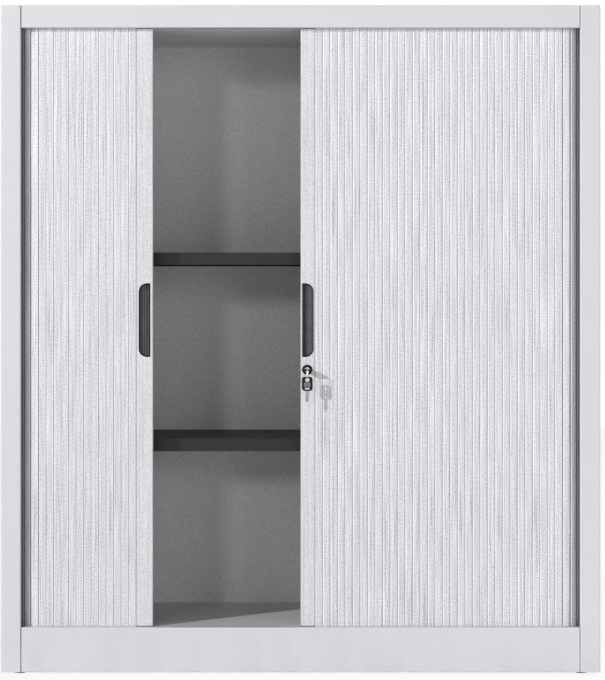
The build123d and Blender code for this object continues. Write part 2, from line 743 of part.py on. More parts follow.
def carcass_nodes():
    """Everything that stands still."""
    right_side = side_panel()
    right_inner = inner_side()
    bottom_track = track(PAN_TOP, PLINTH_TOP - GROOVE_DEPTH)
    top_track = track(FASCIA_BOTTOM, FASCIA_BOTTOM)
    nodes = {
        "side_panel_right": right_side,
        "side_panel_left": mirrored(right_side),
        "top_panel": top_panel(),
        "roof_liner": roof_liner(),
        "base_pan": base_pan(),
        "front_plinth": plinth(),
        "back_panel": back_panel(),
        "inner_back": inner_back(),
        "inner_side_right": right_inner,
        "inner_side_left": mirrored(right_inner),
        "deck": deck(),
        "ceiling": ceiling(),
        "bottom_track_right": bottom_track,
        "bottom_track_left": mirrored(bottom_track),
        "top_track_right": top_track,
        "top_track_left": mirrored(top_track),
        "shelf_clips": shelf_clips(),
        "foot_brackets": Compound([foot_bracket(name) for name in FOOT_PLACES]),
        "foot_nuts": Compound([foot_nut(name) for name in FOOT_PLACES]),
    }
    for name, top in SHELF_TOPS.items():
        nodes[name] = shelf(top)
    return nodes


def right_shutter_nodes():
    """The closed shutter with its lead rail, handle and lock cylinder."""
    handle_x = (LEAD_GAP + RIGHT_LEAD_OUTER) / 2 - HANDLE_WIDTH / 2 - 0.4
    cutters = [
        handle_prism(handle_x, 0.2, (LEAD_FACE - 1, LEAD_FACE + LEAD_WALL + 1)),
        lock_rod(LOCK_RADIUS + 0.1, (LEAD_FACE - 1, LEAD_FACE + LEAD_WALL + 1)),
        hook_slot((LEAD_GAP - 1, LEAD_GAP + LEAD_WALL + 1)),
    ]
    tail = SLATS_PER_SHUTTER - RIGHT_FRONT_SLATS - CORNER_SLATS
    return {
        "right_lead_rail": lead_rail(LEAD_GAP, RIGHT_LEAD_OUTER, cutters),
        "right_rail_glides": rail_glides(LEAD_GAP, RIGHT_LEAD_OUTER),
        "right_handle_cup": handle_cup(handle_x),
        "lock_body": lock_body(),
        "lock_nut": lock_nut(),
        "right_shutter_front": slats(-RIGHT_FRONT_SLATS, RIGHT_FRONT_SLATS),
        "right_shutter_corner": slats(0, CORNER_SLATS),
        "right_shutter_tail": slats(CORNER_SLATS, tail),
    }


def left_shutter_nodes():
    """The half-open shutter with its lead rail, handle and strike plate."""
    inner_x = LEFT_LEAD_OUTER - LEFT_LEAD_WIDTH
    handle_x = inner_x + 5.6
    cutters = [
        handle_prism(handle_x, 0.2, (LEAD_FACE - 1, LEAD_FACE + LEAD_WALL + 1)),
        hook_slot((inner_x - 1, inner_x + LEAD_WALL + 1)),
    ]
    tail = SLATS_PER_SHUTTER - LEFT_FRONT_SLATS - CORNER_SLATS
    right_hand = {
        "left_lead_rail": lead_rail(inner_x, LEFT_LEAD_OUTER, cutters),
        "left_rail_glides": rail_glides(inner_x, LEFT_LEAD_OUTER),
        "left_handle_cup": handle_cup(handle_x),
        "strike_plate": strike_plate(),
        "left_shutter_front": slats(-LEFT_FRONT_SLATS, LEFT_FRONT_SLATS),
        "left_shutter_corner": slats(0, CORNER_SLATS),
        "left_shutter_tail": slats(CORNER_SLATS, tail),
    }
    return {name: mirrored(shape) for name, shape in right_hand.items()}


def key_nodes():
    """Plug, hook and the key in the lock, the ring, and the spare key on the ring."""
    blade, head = key_parts()
    return {
        "lock_plug": lock_plug(),
        "hook_bolt": hook_bolt(),
        "hook_screw": hook_screw(),
        "key_blade": place_lock_key(blade),
        "key_head": place_lock_key(head),
        "key_ring": key_ring(),
        "spare_key_blade": place_spare_key(blade),
        "spare_key_head": place_spare_key(head),
    }


def foot_nodes():
    """Each foot's disc and stud."""
    nodes = {}
    for name in FOOT_PLACES:
        nodes[f"foot_disc_{name}"] = foot_place(name) * foot_disc()
        nodes[f"foot_stud_{name}"] = foot_place(name) * foot_stud()
    return nodes


def main():
    """Write one STEP file for each piece."""
    os.makedirs("parts", exist_ok=True)
    nodes = carcass_nodes() | right_shutter_nodes() | left_shutter_nodes() | key_nodes() | foot_nodes()
    for name, shape in nodes.items():
        export_step(shape, f"parts/{name}.step")


main()
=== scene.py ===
"""Looks for a steel cabinet with two side-opening roller shutters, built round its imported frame.

Lengths in the sub-assemblies are in millimetres: X runs to the right seen from the front, depth runs
back from the front face of the carcass, and Z runs up from the floor. Finishes and lamps are in metres.
"""

from __future__ import annotations

import json
import logging
import math
from collections.abc import Iterable, Sequence
from dataclasses import dataclass, replace
from enum import Enum
from itertools import accumulate

import bmesh
import bpy
from mathutils import Matrix, Vector


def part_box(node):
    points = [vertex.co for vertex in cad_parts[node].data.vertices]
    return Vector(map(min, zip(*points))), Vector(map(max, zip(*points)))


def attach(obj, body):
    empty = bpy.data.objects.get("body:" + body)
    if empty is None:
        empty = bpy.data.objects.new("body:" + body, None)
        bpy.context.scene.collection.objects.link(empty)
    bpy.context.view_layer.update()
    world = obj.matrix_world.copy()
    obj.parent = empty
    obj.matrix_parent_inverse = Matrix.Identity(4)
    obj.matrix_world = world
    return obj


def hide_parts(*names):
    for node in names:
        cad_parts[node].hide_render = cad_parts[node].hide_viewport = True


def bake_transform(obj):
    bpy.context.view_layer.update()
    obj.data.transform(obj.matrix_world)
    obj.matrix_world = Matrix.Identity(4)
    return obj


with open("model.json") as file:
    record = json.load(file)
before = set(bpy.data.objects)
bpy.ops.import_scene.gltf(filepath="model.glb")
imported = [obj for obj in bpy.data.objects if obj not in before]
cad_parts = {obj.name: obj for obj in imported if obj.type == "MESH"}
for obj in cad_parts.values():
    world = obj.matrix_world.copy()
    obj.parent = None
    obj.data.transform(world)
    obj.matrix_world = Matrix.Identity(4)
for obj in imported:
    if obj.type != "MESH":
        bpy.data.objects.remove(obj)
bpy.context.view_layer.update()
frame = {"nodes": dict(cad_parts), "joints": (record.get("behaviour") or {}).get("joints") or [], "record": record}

MM = 0.001
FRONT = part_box("side_panel_left")[0].y
STRIP = 0.032  # Width, in metres, of the strip of finish that every slat has to itself
Pair = tuple[float, float]
Triple = tuple[float, float, float]
log = logging.getLogger("cabinet")


class Side(Enum):
    """Which half of the cabinet a shutter or rail belongs to, as the sign of its X."""

    LEFT = -1
    RIGHT = 1

    @property
    def word(self) -> str:
        """Name used in the names of pieces."""
        return self.name.lower()


class Layout(Enum):
    """Coordinates that a finish follows, in metres: the piece's own, or across and along a slat."""

    PIECE = "Object"
    SLAT = "UV"


# ---------------------------------------------------------------------------------------------
# Shader maths
# ---------------------------------------------------------------------------------------------


class Socket:
    """An output inside a node tree, on which arithmetic adds Math nodes."""

    def __init__(self, shader: Shader, output: bpy.types.NodeSocket | None) -> None:
        """Keeps the tree and the output."""
        self.shader = shader
        self.output = output

    def _maths(self, operation: str, first: Socket | float, second: Socket | float) -> Socket:
        """Adds one Math node."""
        return self.shader.node("ShaderNodeMath", {"operation": operation}, {0: first, 1: second})

    def __add__(self, other: Socket | float) -> Socket:
        """Sum."""
        return self._maths("ADD", self, other)

    __radd__ = __add__

    def __sub__(self, other: Socket | float) -> Socket:
        """Difference."""
        return self._maths("SUBTRACT", self, other)

    def __rsub__(self, other: Socket | float) -> Socket:
        """Difference with this value taken away."""
        return self._maths("SUBTRACT", other, self)

    def __mul__(self, other: Socket | float) -> Socket:
        """Product."""
        return self._maths("MULTIPLY", self, other)

    __rmul__ = __mul__

    def at_least(self, other: Socket | float) -> Socket:
        """The larger of two values."""
        return self._maths("MAXIMUM", self, other)

    def fraction(self) -> Socket:
        """What the value has over its last whole number."""
        return self.shader.node("ShaderNodeMath", {"operation": "FRACT"}, {0: self})

    def between(self, low: float, high: float) -> Socket:
        """Zero below low, one above high, and an even rise between them."""
        return self.shader.node("ShaderNodeMapRange", {"clamp": True}, {0: self, 1: low, 2: high})


class Shader:
    """The node tree of a material or of the world, filled through a single method."""

    def __init__(self, owner: bpy.types.Material | bpy.types.World) -> None:
        """Empties the tree.

        Args:
            owner: The material or world that the tree belongs to.
        """
        self.owner = owner
        owner.use_nodes = True
        self.tree = owner.node_tree
        self.tree.nodes.clear()

    def node(
        self, kind: str, settings: dict | None = None, values: dict | None = None, output: int | str = 0
    ) -> Socket:
        """Adds a node.

        Args:
            kind: Blender's type of the node.
            settings: Options of the node, set first.
            values: What goes into its inputs: numbers, colours, vectors or other sockets.
            output: Which of its outputs is given back.

        Returns:
            The chosen output, which is empty for a tree's last node.
        """
        made = self.tree.nodes.new(kind)
        for key, value in (settings or {}).items():
            setattr(made, key, value)
        for key, value in (values or {}).items():
            if isinstance(value, Socket):
                self.tree.links.new(value.output, made.inputs[key])
            else:
                made.inputs[key].default_value = value
        return Socket(self, made.outputs[output] if made.outputs else None)

    def place(self, layout: Layout = Layout.PIECE) -> Socket:
        """Coordinates of one kind, in metres."""
        return self.node("ShaderNodeTexCoord", output=layout.value)

    def stretched(self, place: Socket, factors: Triple) -> Socket:
        """Coordinates multiplied axis by axis."""
        return self.node("ShaderNodeVectorMath", {"operation": "MULTIPLY"}, {0: place, 1: factors})

    def axis(self, place: Socket, name: str) -> Socket:
        """One coordinate of a place."""
        return self.node("ShaderNodeSeparateXYZ", values={0: place}, output=name)

    def noise(
        self, place: Socket, cells: float, detail: float, roughness: float = 0.5, output: int | str = 0
    ) -> Socket:
        """Smooth noise about a half, with so many cells to the metre."""
        values = {"Vector": place, "Scale": cells, "Detail": detail, "Roughness": roughness}
        return self.node("ShaderNodeTexNoise", values=values, output=output)

    def blend(self, factor: Socket | float, first: Socket | Triple, second: Socket | Triple) -> Socket:
        """Colour between two colours."""
        values = {0: factor, 6: self._colour(first), 7: self._colour(second)}
        return self.node("ShaderNodeMix", {"data_type": "RGBA"}, values, output=2)

    @staticmethod
    def _colour(value: Socket | Triple) -> Socket | tuple[float, ...]:
        """A colour with its fourth number."""
        return value if isinstance(value, Socket) else (*value, 1.0)

    def bump(self, height: Socket, depth: float) -> Socket:
        """Normal of a surface with a relief between 0 and 1, so many metres deep."""
        return self.node("ShaderNodeBump", values={"Height": height, "Distance": depth}, output="Normal")

    def surface(self, values: dict) -> bpy.types.Material:
        """Closes the material with a principled shader that has these inputs."""
        return self.show(self.node("ShaderNodeBsdfPrincipled", values=values))

    def show(self, shader: Socket) -> bpy.types.Material:
        """Sends a shader to the material's surface."""
        self.node("ShaderNodeOutputMaterial", values={"Surface": shader})
        return self.owner


# ---------------------------------------------------------------------------------------------
# Finishes
# ---------------------------------------------------------------------------------------------


@dataclass(frozen=True)
class Specks:
    """Finest mottling of a paint: its cells, how sharp it is, its share, and its darkest and palest tint."""

    cells: float = 1500.0
    detail: float = 1.0
    span: Pair = (0.0, 1.0)
    share: float = 0.3
    tints: Pair = (0.95, 1.03)


@dataclass(frozen=True)
class PowderCoat:
    """Baked powder paint on sheet steel: orange-peel relief, faint clouding and floor-level grime."""

    name: str
    colour: Triple
    roughness: float = 0.42
    grime: float = 0.25
    shine: float = 0.5
    specks: Specks = Specks()
    palest: float = 0.95
    cloud_cells: float = 4.0
    wipe_stretch: Triple = (9.0, 9.0, 2.2)
    wipe_cells: float = 3.0
    wipe_roughness: float = 0.12
    grime_height: float = 0.13
    grime_span: Pair = (0.42, 0.75)
    grime_tint: Triple = (0.62, 0.6, 0.56)
    grime_roughness: float = 0.2
    peel_cells: float = 420.0
    peel_depth: float = 0.00006

    def clean_colour(self, shader: Shader, place: Socket) -> Socket:
        """The paint's colour with its clouds and specks.

        Args:
            shader: The material's node tree.
            place: The piece's own coordinates.

        Returns:
            The colour.
        """
        specks = self.specks
        darker, paler = (
            tuple(min(self.palest, part * tint) for part in self.colour) for tint in specks.tints
        )
        clouds = shader.noise(place, self.cloud_cells, detail=3.0)
        speckle = shader.noise(place, specks.cells, specks.detail).between(*specks.span)
        return shader.blend(clouds * (1.0 - specks.share) + speckle * specks.share, darker, paler)

    def material(self) -> bpy.types.Material:
        """Makes the material.

        Returns:
            The material.
        """
        shader = Shader(bpy.data.materials.new(self.name))
        place = shader.place()
        smears = shader.stretched(place, self.wipe_stretch)
        wiped = shader.noise(smears, self.wipe_cells, detail=4.0, roughness=0.6)
        low = 1.0 - shader.axis(place, "Z").between(0.0, self.grime_height)
        dirt = low * wiped.between(*self.grime_span) * self.grime
        dirty = tuple(part * tint for part, tint in zip(self.colour, self.grime_tint))
        uneven = wiped * self.wipe_roughness + dirt * self.grime_roughness
        peel = shader.noise(place, self.peel_cells, detail=1.5)
        return shader.surface(
            {
                "Base Color": shader.blend(dirt, self.clean_colour(shader, place), dirty),
                "Roughness": uneven + (self.roughness - self.wipe_roughness / 2),
                "Specular IOR Level": self.shine,
                "Normal": shader.bump(peel, self.peel_depth),
            }
        )


@dataclass(frozen=True)
class Streaked:
    """Satin slats and rails with fine upright streaks that waver and break off like a brushed foil.

    The cells are to the metre, across a slat and along it. The rim is where a painted highlight runs pale
    along a slat's lead edge, in metres from the start of its strip; it stands for the light that the rolled edge
    catches.
    """

    name: str
    colour: Triple
    grain: float
    layout: Layout = Layout.SLAT
    contrast: float = 0.32
    shine: float = 0.8
    # rubbed: strength of the painted highlight along each slat's lead edge
    rubbed: float = 0.0
    palest: float = 0.97
    waver: float = 0.0022
    waver_cells: float = 9.0
    groove_cells: Pair = (300.0, 5.0)
    pale_span: Pair = (0.6, 0.66)
    pale_grooves: float = 0.26
    dark_span: Pair = (0.34, 0.4)
    dark_grooves: float = 0.35
    fine_cells: Pair = (650.0, 9.0)
    fine_span: Pair = (0.35, 0.65)
    fine_lines: float = 0.3
    sand_cells: Pair = (480.0, 330.0)
    sand_span: Pair = (0.4, 0.6)
    middle: float = 0.37
    roughness: float = 0.26
    line_roughness: float = 0.1
    relief: float = 0.00005
    # rim: where the painted highlight starts and ends across the slat's strip
    rim: Pair = (0.0007, 0.0021)
    rim_softness: float = 0.0003

    def streaks(self, place: Socket, cells: Pair, detail: float) -> Socket:
        """Noise drawn out along the slat.

        Args:
            place: The coordinates.
            cells: Its cells across the slat and along it.
            detail: How many finer layers it has.

        Returns:
            The noise.
        """
        across, along = cells
        factors = (across, along, 1.0) if self.layout is Layout.SLAT else (across, across, along)
        return place.shader.noise(place.shader.stretched(place, factors), 1.0, detail)

    def lines(self, place: Socket) -> Socket:
        """All the streaks together.

        Args:
            place: The coordinates.

        Returns:
            Zero for the darkest line and one for the palest.
        """
        shader = place.shader
        drift = shader.noise(place, self.waver_cells, detail=2.0, output="Color")
        shift = shader.stretched(drift, (self.waver, 0.0, 0.0))
        bent = shader.node("ShaderNodeVectorMath", {"operation": "ADD"}, {0: place, 1: shift})
        grooves = self.streaks(bent, self.groove_cells, detail=1.0)
        pale, dark = grooves.between(*self.pale_span), 1.0 - grooves.between(*self.dark_span)
        fine = self.streaks(bent, self.fine_cells, detail=1.0).between(*self.fine_span)
        sand = self.streaks(bent, self.sand_cells, detail=0.0).between(*self.sand_span)
        drawn = pale * self.pale_grooves - dark * self.dark_grooves + fine * self.fine_lines
        return drawn + sand * self.grain + (self.middle - self.grain / 2)

    def rubbed_line(self, place: Socket) -> Socket:
        """One along the painted highlight at a slat's lead edge, and zero beside it.

        Args:
            place: The slat's coordinates.

        Returns:
            The mask.
        """
        inside = (place.shader.axis(place, "X") * (1.0 / STRIP)).fraction() * STRIP
        (start, end), soft = self.rim, self.rim_softness
        return inside.between(start - soft, start + soft) * (1.0 - inside.between(end - soft, end + soft))

    def material(self) -> bpy.types.Material:
        """Makes the material.

        Returns:
            The material.
        """
        shader = Shader(bpy.data.materials.new(self.name))
        place = shader.place(self.layout)
        lines = self.lines(place)
        lift = min(1.0 + self.contrast, self.palest / max(self.colour))
        low, high = (tuple(part * tint for part in self.colour) for tint in (1.0 - self.contrast, lift))
        paint = shader.blend(lines, low, high)
        # Painted highlight: a pale line along each slat's lead edge, where its rolled edge would catch the light
        if self.rubbed:
            paint = shader.blend(self.rubbed_line(place) * self.rubbed, paint, (self.palest,) * 3)
        return shader.surface(
            {
                "Base Color": paint,
                "Roughness": lines * self.line_roughness + self.roughness,
                "Specular IOR Level": self.shine,
                "Normal": shader.bump(lines, self.relief),
            }
        )


@dataclass(frozen=True)
class MouldedPlastic:
    """Moulded plastic with a fine spark-eroded grain, rubbed a little paler here and there."""

    name: str
    colour: Triple
    roughness: float = 0.45
    grain_cells: float = 2200.0
    shine: float = 0.5
    grain_depth: float = 0.00003
    rub_cells: float = 60.0
    rub_span: Pair = (0.35, 0.8)
    rub_gain: float = 1.25
    rub_lift: float = 0.004
    rub_roughness: float = 0.16

    def material(self) -> bpy.types.Material:
        """Makes the material.

        Returns:
            The material.
        """
        shader = Shader(bpy.data.materials.new(self.name))
        place = shader.place()
        grain = shader.noise(place, self.grain_cells, detail=2.0)
        rubbed = shader.noise(place, self.rub_cells, detail=3.0)
        paler = tuple(part * self.rub_gain + self.rub_lift for part in self.colour)
        return shader.surface(
            {
                "Base Color": shader.blend(rubbed.between(*self.rub_span), self.colour, paler),
                "Roughness": rubbed * self.rub_roughness + (self.roughness - self.rub_roughness / 2),
                "Specular IOR Level": self.shine,
                "Normal": shader.bump(grain, self.grain_depth),
            }
        )


@dataclass(frozen=True)
class PlatedMetal:
    """Nickel or zinc plate on steel or brass, with fine rubbing and slight tarnish."""

    name: str
    colour: Triple
    roughness: float = 0.28
    tarnish: float = 0.3
    dulling: float = 0.7
    rub_stretch: Triple = (1.0, 1.0, 6.0)
    rub_cells: float = 500.0
    rub_roughness: float = 0.1
    rub_depth: float = 0.00001
    spot_cells: float = 90.0
    spot_span: Pair = (0.5, 0.75)
    spot_roughness: float = 0.12

    def material(self) -> bpy.types.Material:
        """Makes the material.

        Returns:
            The material.
        """
        shader = Shader(bpy.data.materials.new(self.name))
        place = shader.place()
        rubbed = shader.noise(shader.stretched(place, self.rub_stretch), self.rub_cells, detail=2.0)
        spotty = shader.noise(place, self.spot_cells, detail=4.0, roughness=0.6)
        spots = spotty.between(*self.spot_span)
        dull = tuple(part * self.dulling for part in self.colour)
        uneven = rubbed * self.rub_roughness + spots * self.spot_roughness
        return shader.surface(
            {
                "Base Color": shader.blend(spots * self.tarnish, self.colour, dull),
                "Metallic": 1.0,
                "Roughness": uneven + (self.roughness - self.rub_roughness / 2),
                "Normal": shader.bump(rubbed, self.rub_depth),
            }
        )


class Finishes:
    """The finish of every material slot of the cabinet, and those that only new pieces have."""

    def __init__(self) -> None:
        """Makes the materials."""
        grey, soot = (0.700, 0.706, 0.728), (0.015, 0.0135, 0.014)
        flecks = Specks(cells=480.0, detail=0.0, span=(0.4, 0.6), share=0.75, tints=(0.85, 1.13))
        finishes = {
            "carcass_paint": PowderCoat("carcass paint", grey),
            "interior_paint": PowderCoat("interior paint", (0.82, 0.81, 0.83), grime=0.1, specks=flecks),
            "shelf_paint": PowderCoat("shelf paint", soot, roughness=0.5, grime=0.0, shine=0.3),
            "rail_paint": Streaked("rail paint", grey, 0.5, Layout.PIECE, contrast=0.15, shine=0.5),
            # rubbed sets the painted highlight along each slat's lead edge
            "slat_plastic": Streaked("slat plastic", (0.68, 0.688, 0.72), grain=0.4, rubbed=0.8),
            "track_plastic": MouldedPlastic("track plastic", (0.45, 0.45, 0.46)),
            "black_plastic": MouldedPlastic("black plastic", (0.004, 0.004, 0.005), shine=0.15),
            "nickel": PlatedMetal("nickel plate", (0.75, 0.74, 0.72)),
            "zinc_steel": PlatedMetal("zinc plate", (0.62, 0.62, 0.61), roughness=0.4, tarnish=0.5),
        }
        self.by_slot = {slot: finish.material() for slot, finish in finishes.items()}
        # Slat hooks, webs and ends are dark grey: painted shade that darkens the gaps between slats
        self.hinge = MouldedPlastic("slat hinge", (0.2, 0.2, 0.21), 0.6).material()
        grip = MouldedPlastic("ribbed grip", (0.108, 0.104, 0.112), 0.5, grain_cells=3000.0, shine=0.12)
        self.grip = grip.material()
        # Darker copy of the plate for the key blade's edges, bevels and groove: painted shade
        shaded_plate = PlatedMetal("tarnished nickel", (0.2, 0.195, 0.19), roughness=0.45, tarnish=0.6)
        self.tarnish = shaded_plate.material()
        self.key_steel = PlatedMetal("key steel", (0.4, 0.395, 0.385), 0.4).material()
        self.pad = MouldedPlastic("key pad", (0.13, 0.13, 0.15), 0.5).material()

    def dress(self, piece: bpy.types.Object, slot: str) -> None:
        """Gives a new piece the finish of a material slot."""
        piece.data.materials.append(self.by_slot[slot])

    def dress_slat(self, piece: bpy.types.Object) -> None:
        """Gives a slat its streaked skin and the darker hooks behind it; their dark grey is painted shade in the
        gaps between slats.
        """
        self.dress(piece, "slat_plastic")
        piece.data.materials.append(self.hinge)


# ---------------------------------------------------------------------------------------------
# Mesh code
# ---------------------------------------------------------------------------------------------


class Form:
    """The surface of one piece while it is being built, in millimetres."""

    SQUARE_SLACK = 0.2  # Radians by which a square edge may miss a right angle
    LEVEL_SLACK = 1e-6  # Metres by which the ends of a level edge may differ

    def __init__(self, name: str, place: Matrix | None = None) -> None:
        """Starts an empty surface.

        Args:
            name: Name of the piece.
            place: Where its own axes lie; without it they are X, depth and Z.
        """
        self.name = name
        self.place = place or Matrix.Translation((0.0, FRONT, 0.0))
        self.mesh = bmesh.new()
        self.uv = self.mesh.loops.layers.uv.new("UVMap")

    def loop(self, points: Iterable[Triple]) -> list[bmesh.types.BMVert]:
        """Adds a row of points on the surface's own axes, which are X, depth and Z by default."""
        return [self.mesh.verts.new(self.place @ (Vector(point) * MM)) for point in points]

    def bridge(self, first: Sequence[bmesh.types.BMVert], second: Sequence[bmesh.types.BMVert]) -> None:
        """Joins two closed rows of points with a band of faces.

        Args:
            first: One row.
            second: The other row, with as many points.
        """
        count = len(first)
        for here in range(count):
            there = (here + 1) % count
            self.mesh.faces.new((first[here], first[there], second[there], second[here]))

    def cap(self, row: Sequence[bmesh.types.BMVert]) -> bmesh.types.BMFace:
        """Closes a row of points with one face."""
        return self.mesh.faces.new(row)

    def loft(self, rows: Sequence[Iterable[Triple]]) -> None:
        """Joins closed rows of points one after another and closes both ends.

        Args:
            rows: The rows, each with as many points.
        """
        made = [self.loop(row) for row in rows]
        for first, second in zip(made, made[1:]):
            self.bridge(first, second)
        self.cap(made[0])
        self.cap(made[-1])

    def plate(self, outlines: Sequence[Sequence[Pair]], low: float, high: float, rounding: float) -> None:
        """Adds a flat plate with holes, its edges rounded.

        Args:
            outlines: The plate's outline and those of its holes, on the first two axes.
            low: Where it starts on the third axis.
            high: Where it ends.
            rounding: Radius of its edges.
        """
        edges = []
        for outline in outlines:
            ring = self.loop((across, along, low) for across, along in outline)
            edges += [self.mesh.edges.new((here, there)) for here, there in zip(ring, ring[1:] + ring[:1])]
        filled = bmesh.ops.triangle_fill(self.mesh, use_beauty=True, edges=edges)["geom"]
        faces = [part for part in filled if isinstance(part, bmesh.types.BMFace)]
        raised = bmesh.ops.extrude_face_region(self.mesh, geom=faces, use_keep_orig=True)["geom"]
        corners = [part for part in raised if isinstance(part, bmesh.types.BMVert)]
        lift = self.place.to_3x3() @ Vector((0.0, 0.0, (high - low) * MM))
        bmesh.ops.translate(self.mesh, verts=corners, vec=lift)
        bmesh.ops.recalc_face_normals(self.mesh, faces=self.mesh.faces)
        bmesh.ops.bevel(
            self.mesh, geom=self.rims(), offset=rounding * MM, segments=2, profile=0.5, affect="EDGES"
        )

    def rims(self) -> list[bmesh.types.BMEdge]:
        """Finds the square edges round both faces of a plate.

        Returns:
            The edges.
        """
        axes = self.place.to_3x3().inverted()
        rims = []
        for edge in self.mesh.edges:
            rise = (axes @ (edge.verts[1].co - edge.verts[0].co)).z
            miss = abs(edge.calc_face_angle(0.0) - math.pi / 2)
            if miss < self.SQUARE_SLACK and abs(rise) < self.LEVEL_SLACK:
                rims.append(edge)
        return rims

    def sheet(self, rows: Sequence[Sequence[bmesh.types.BMVert]]) -> None:
        """Joins open rows of points into a surface.

        Args:
            rows: The rows, each with as many points.
        """
        for first, second in zip(rows, rows[1:]):
            for here in range(len(first) - 1):
                self.mesh.faces.new((first[here], first[here + 1], second[here + 1], second[here]))

    def finish(self, smooth_below: float = 35.0) -> bpy.types.Object:
        """Makes the piece.

        Args:
            smooth_below: Edges whose faces turn by less than this many degrees are shaded smooth.

        Returns:
            The new object, with its place in its mesh.
        """
        bmesh.ops.recalc_face_normals(self.mesh, faces=self.mesh.faces)
        for face in self.mesh.faces:
            face.smooth = True
        for edge in self.mesh.edges:
            edge.smooth = edge.calc_face_angle(math.pi) < math.radians(smooth_below)
        data = bpy.data.meshes.new(self.name)
        self.mesh.to_mesh(data)
        self.mesh.free()
        piece = bpy.data.objects.new(self.name, data)
        bpy.context.scene.collection.objects.link(piece)
        return piece


def arc(centre: Pair, radius: float, start: float, end: float, steps: int) -> list[Pair]:
    """Points along an arc.

    Args:
        centre: The arc's centre.
        radius: Its radius.
        start: Direction of its first point, in degrees.
        end: Direction of its last point.
        steps: How many chords it has.

    Returns:
        The points, both ends included.
    """
    angles = [math.radians(start + (end - start) * step / steps) for step in range(steps + 1)]
    return [(centre[0] + radius * math.cos(a), centre[1] + radius * math.sin(a)) for a in angles]


def circle(centre: Pair, radius: float, points: int) -> list[Pair]:
    """Points all round a circle."""
    return arc(centre, radius, 0.0, 360.0 - 360.0 / points, points - 1)


# ---------------------------------------------------------------------------------------------
# Shutters
# ---------------------------------------------------------------------------------------------


@dataclass(frozen=True)
class SlatSection:
    """Section of a slat: first number across it from its lead hinge, second its depth past the hinges.

    A web reaches from the skin's lead edge into the hook of the slat before it. The slat's own hook runs
    on past its far hinge and turns forwards to its tip, behind the next slat's skin.
    """

    pitch: float = 15.05
    low: float = 86.3
    high: float = 1303.7
    skin: float = 3.95
    skin_back: float = 2.8
    crown: float = 0.12
    edge_radius: float = 3.6
    edge_turn: float = 40.0
    edge_steps: int = 5
    gap: float = 0.55
    half_web: float = 0.6
    web_end: float = 1.5
    hook_start: float = 3.3
    hook_back: float = 2.8
    hook_floor: float = 1.9
    hook_root: float = 2.1
    hook_lip: Pair = (1.1, 1.8)
    hook_tip: float = 0.6

    @property
    def skin_sides(self) -> int:
        """How many sides of the outline, from its first, belong to the skin and its far edge."""
        return 2 * (self.edge_steps + 1) + 2

    def outline(self) -> list[Pair]:
        """The section: a nearly flat skin that rolls over at both edges, and the hooks behind it.

        Returns:
            Its points, from the skin's lead edge round to the web.
        """
        radius, turn, steps = self.edge_radius, self.edge_turn, self.edge_steps
        reach = radius * math.sin(math.radians(turn))
        start, stop = -self.half_web, self.pitch - self.half_web - self.gap
        lead_round = arc((start + reach, radius - self.skin), radius, 270 - turn, 270, steps)
        far_round = arc((stop - reach, radius - self.skin), radius, 270, 270 + turn, steps)
        middle = [((start + stop) / 2, -self.skin - self.crown)]
        root = self.pitch - self.hook_root
        lip, lip_end = (self.pitch + past for past in self.hook_lip)
        hook = [
            (stop, -self.skin_back),
            (root, -self.skin_back),
            (root, self.hook_floor),
            (lip, self.hook_floor),
            (lip, -self.hook_tip),
            (lip_end, -self.hook_tip),
            (lip_end, self.hook_back),
            (self.hook_start, self.hook_back),
            (self.hook_start, -self.skin_back),
            (self.half_web, -self.skin_back),
            (self.half_web, self.web_end),
            (-self.half_web, self.web_end),
        ]
        return lead_round + middle + far_round + hook


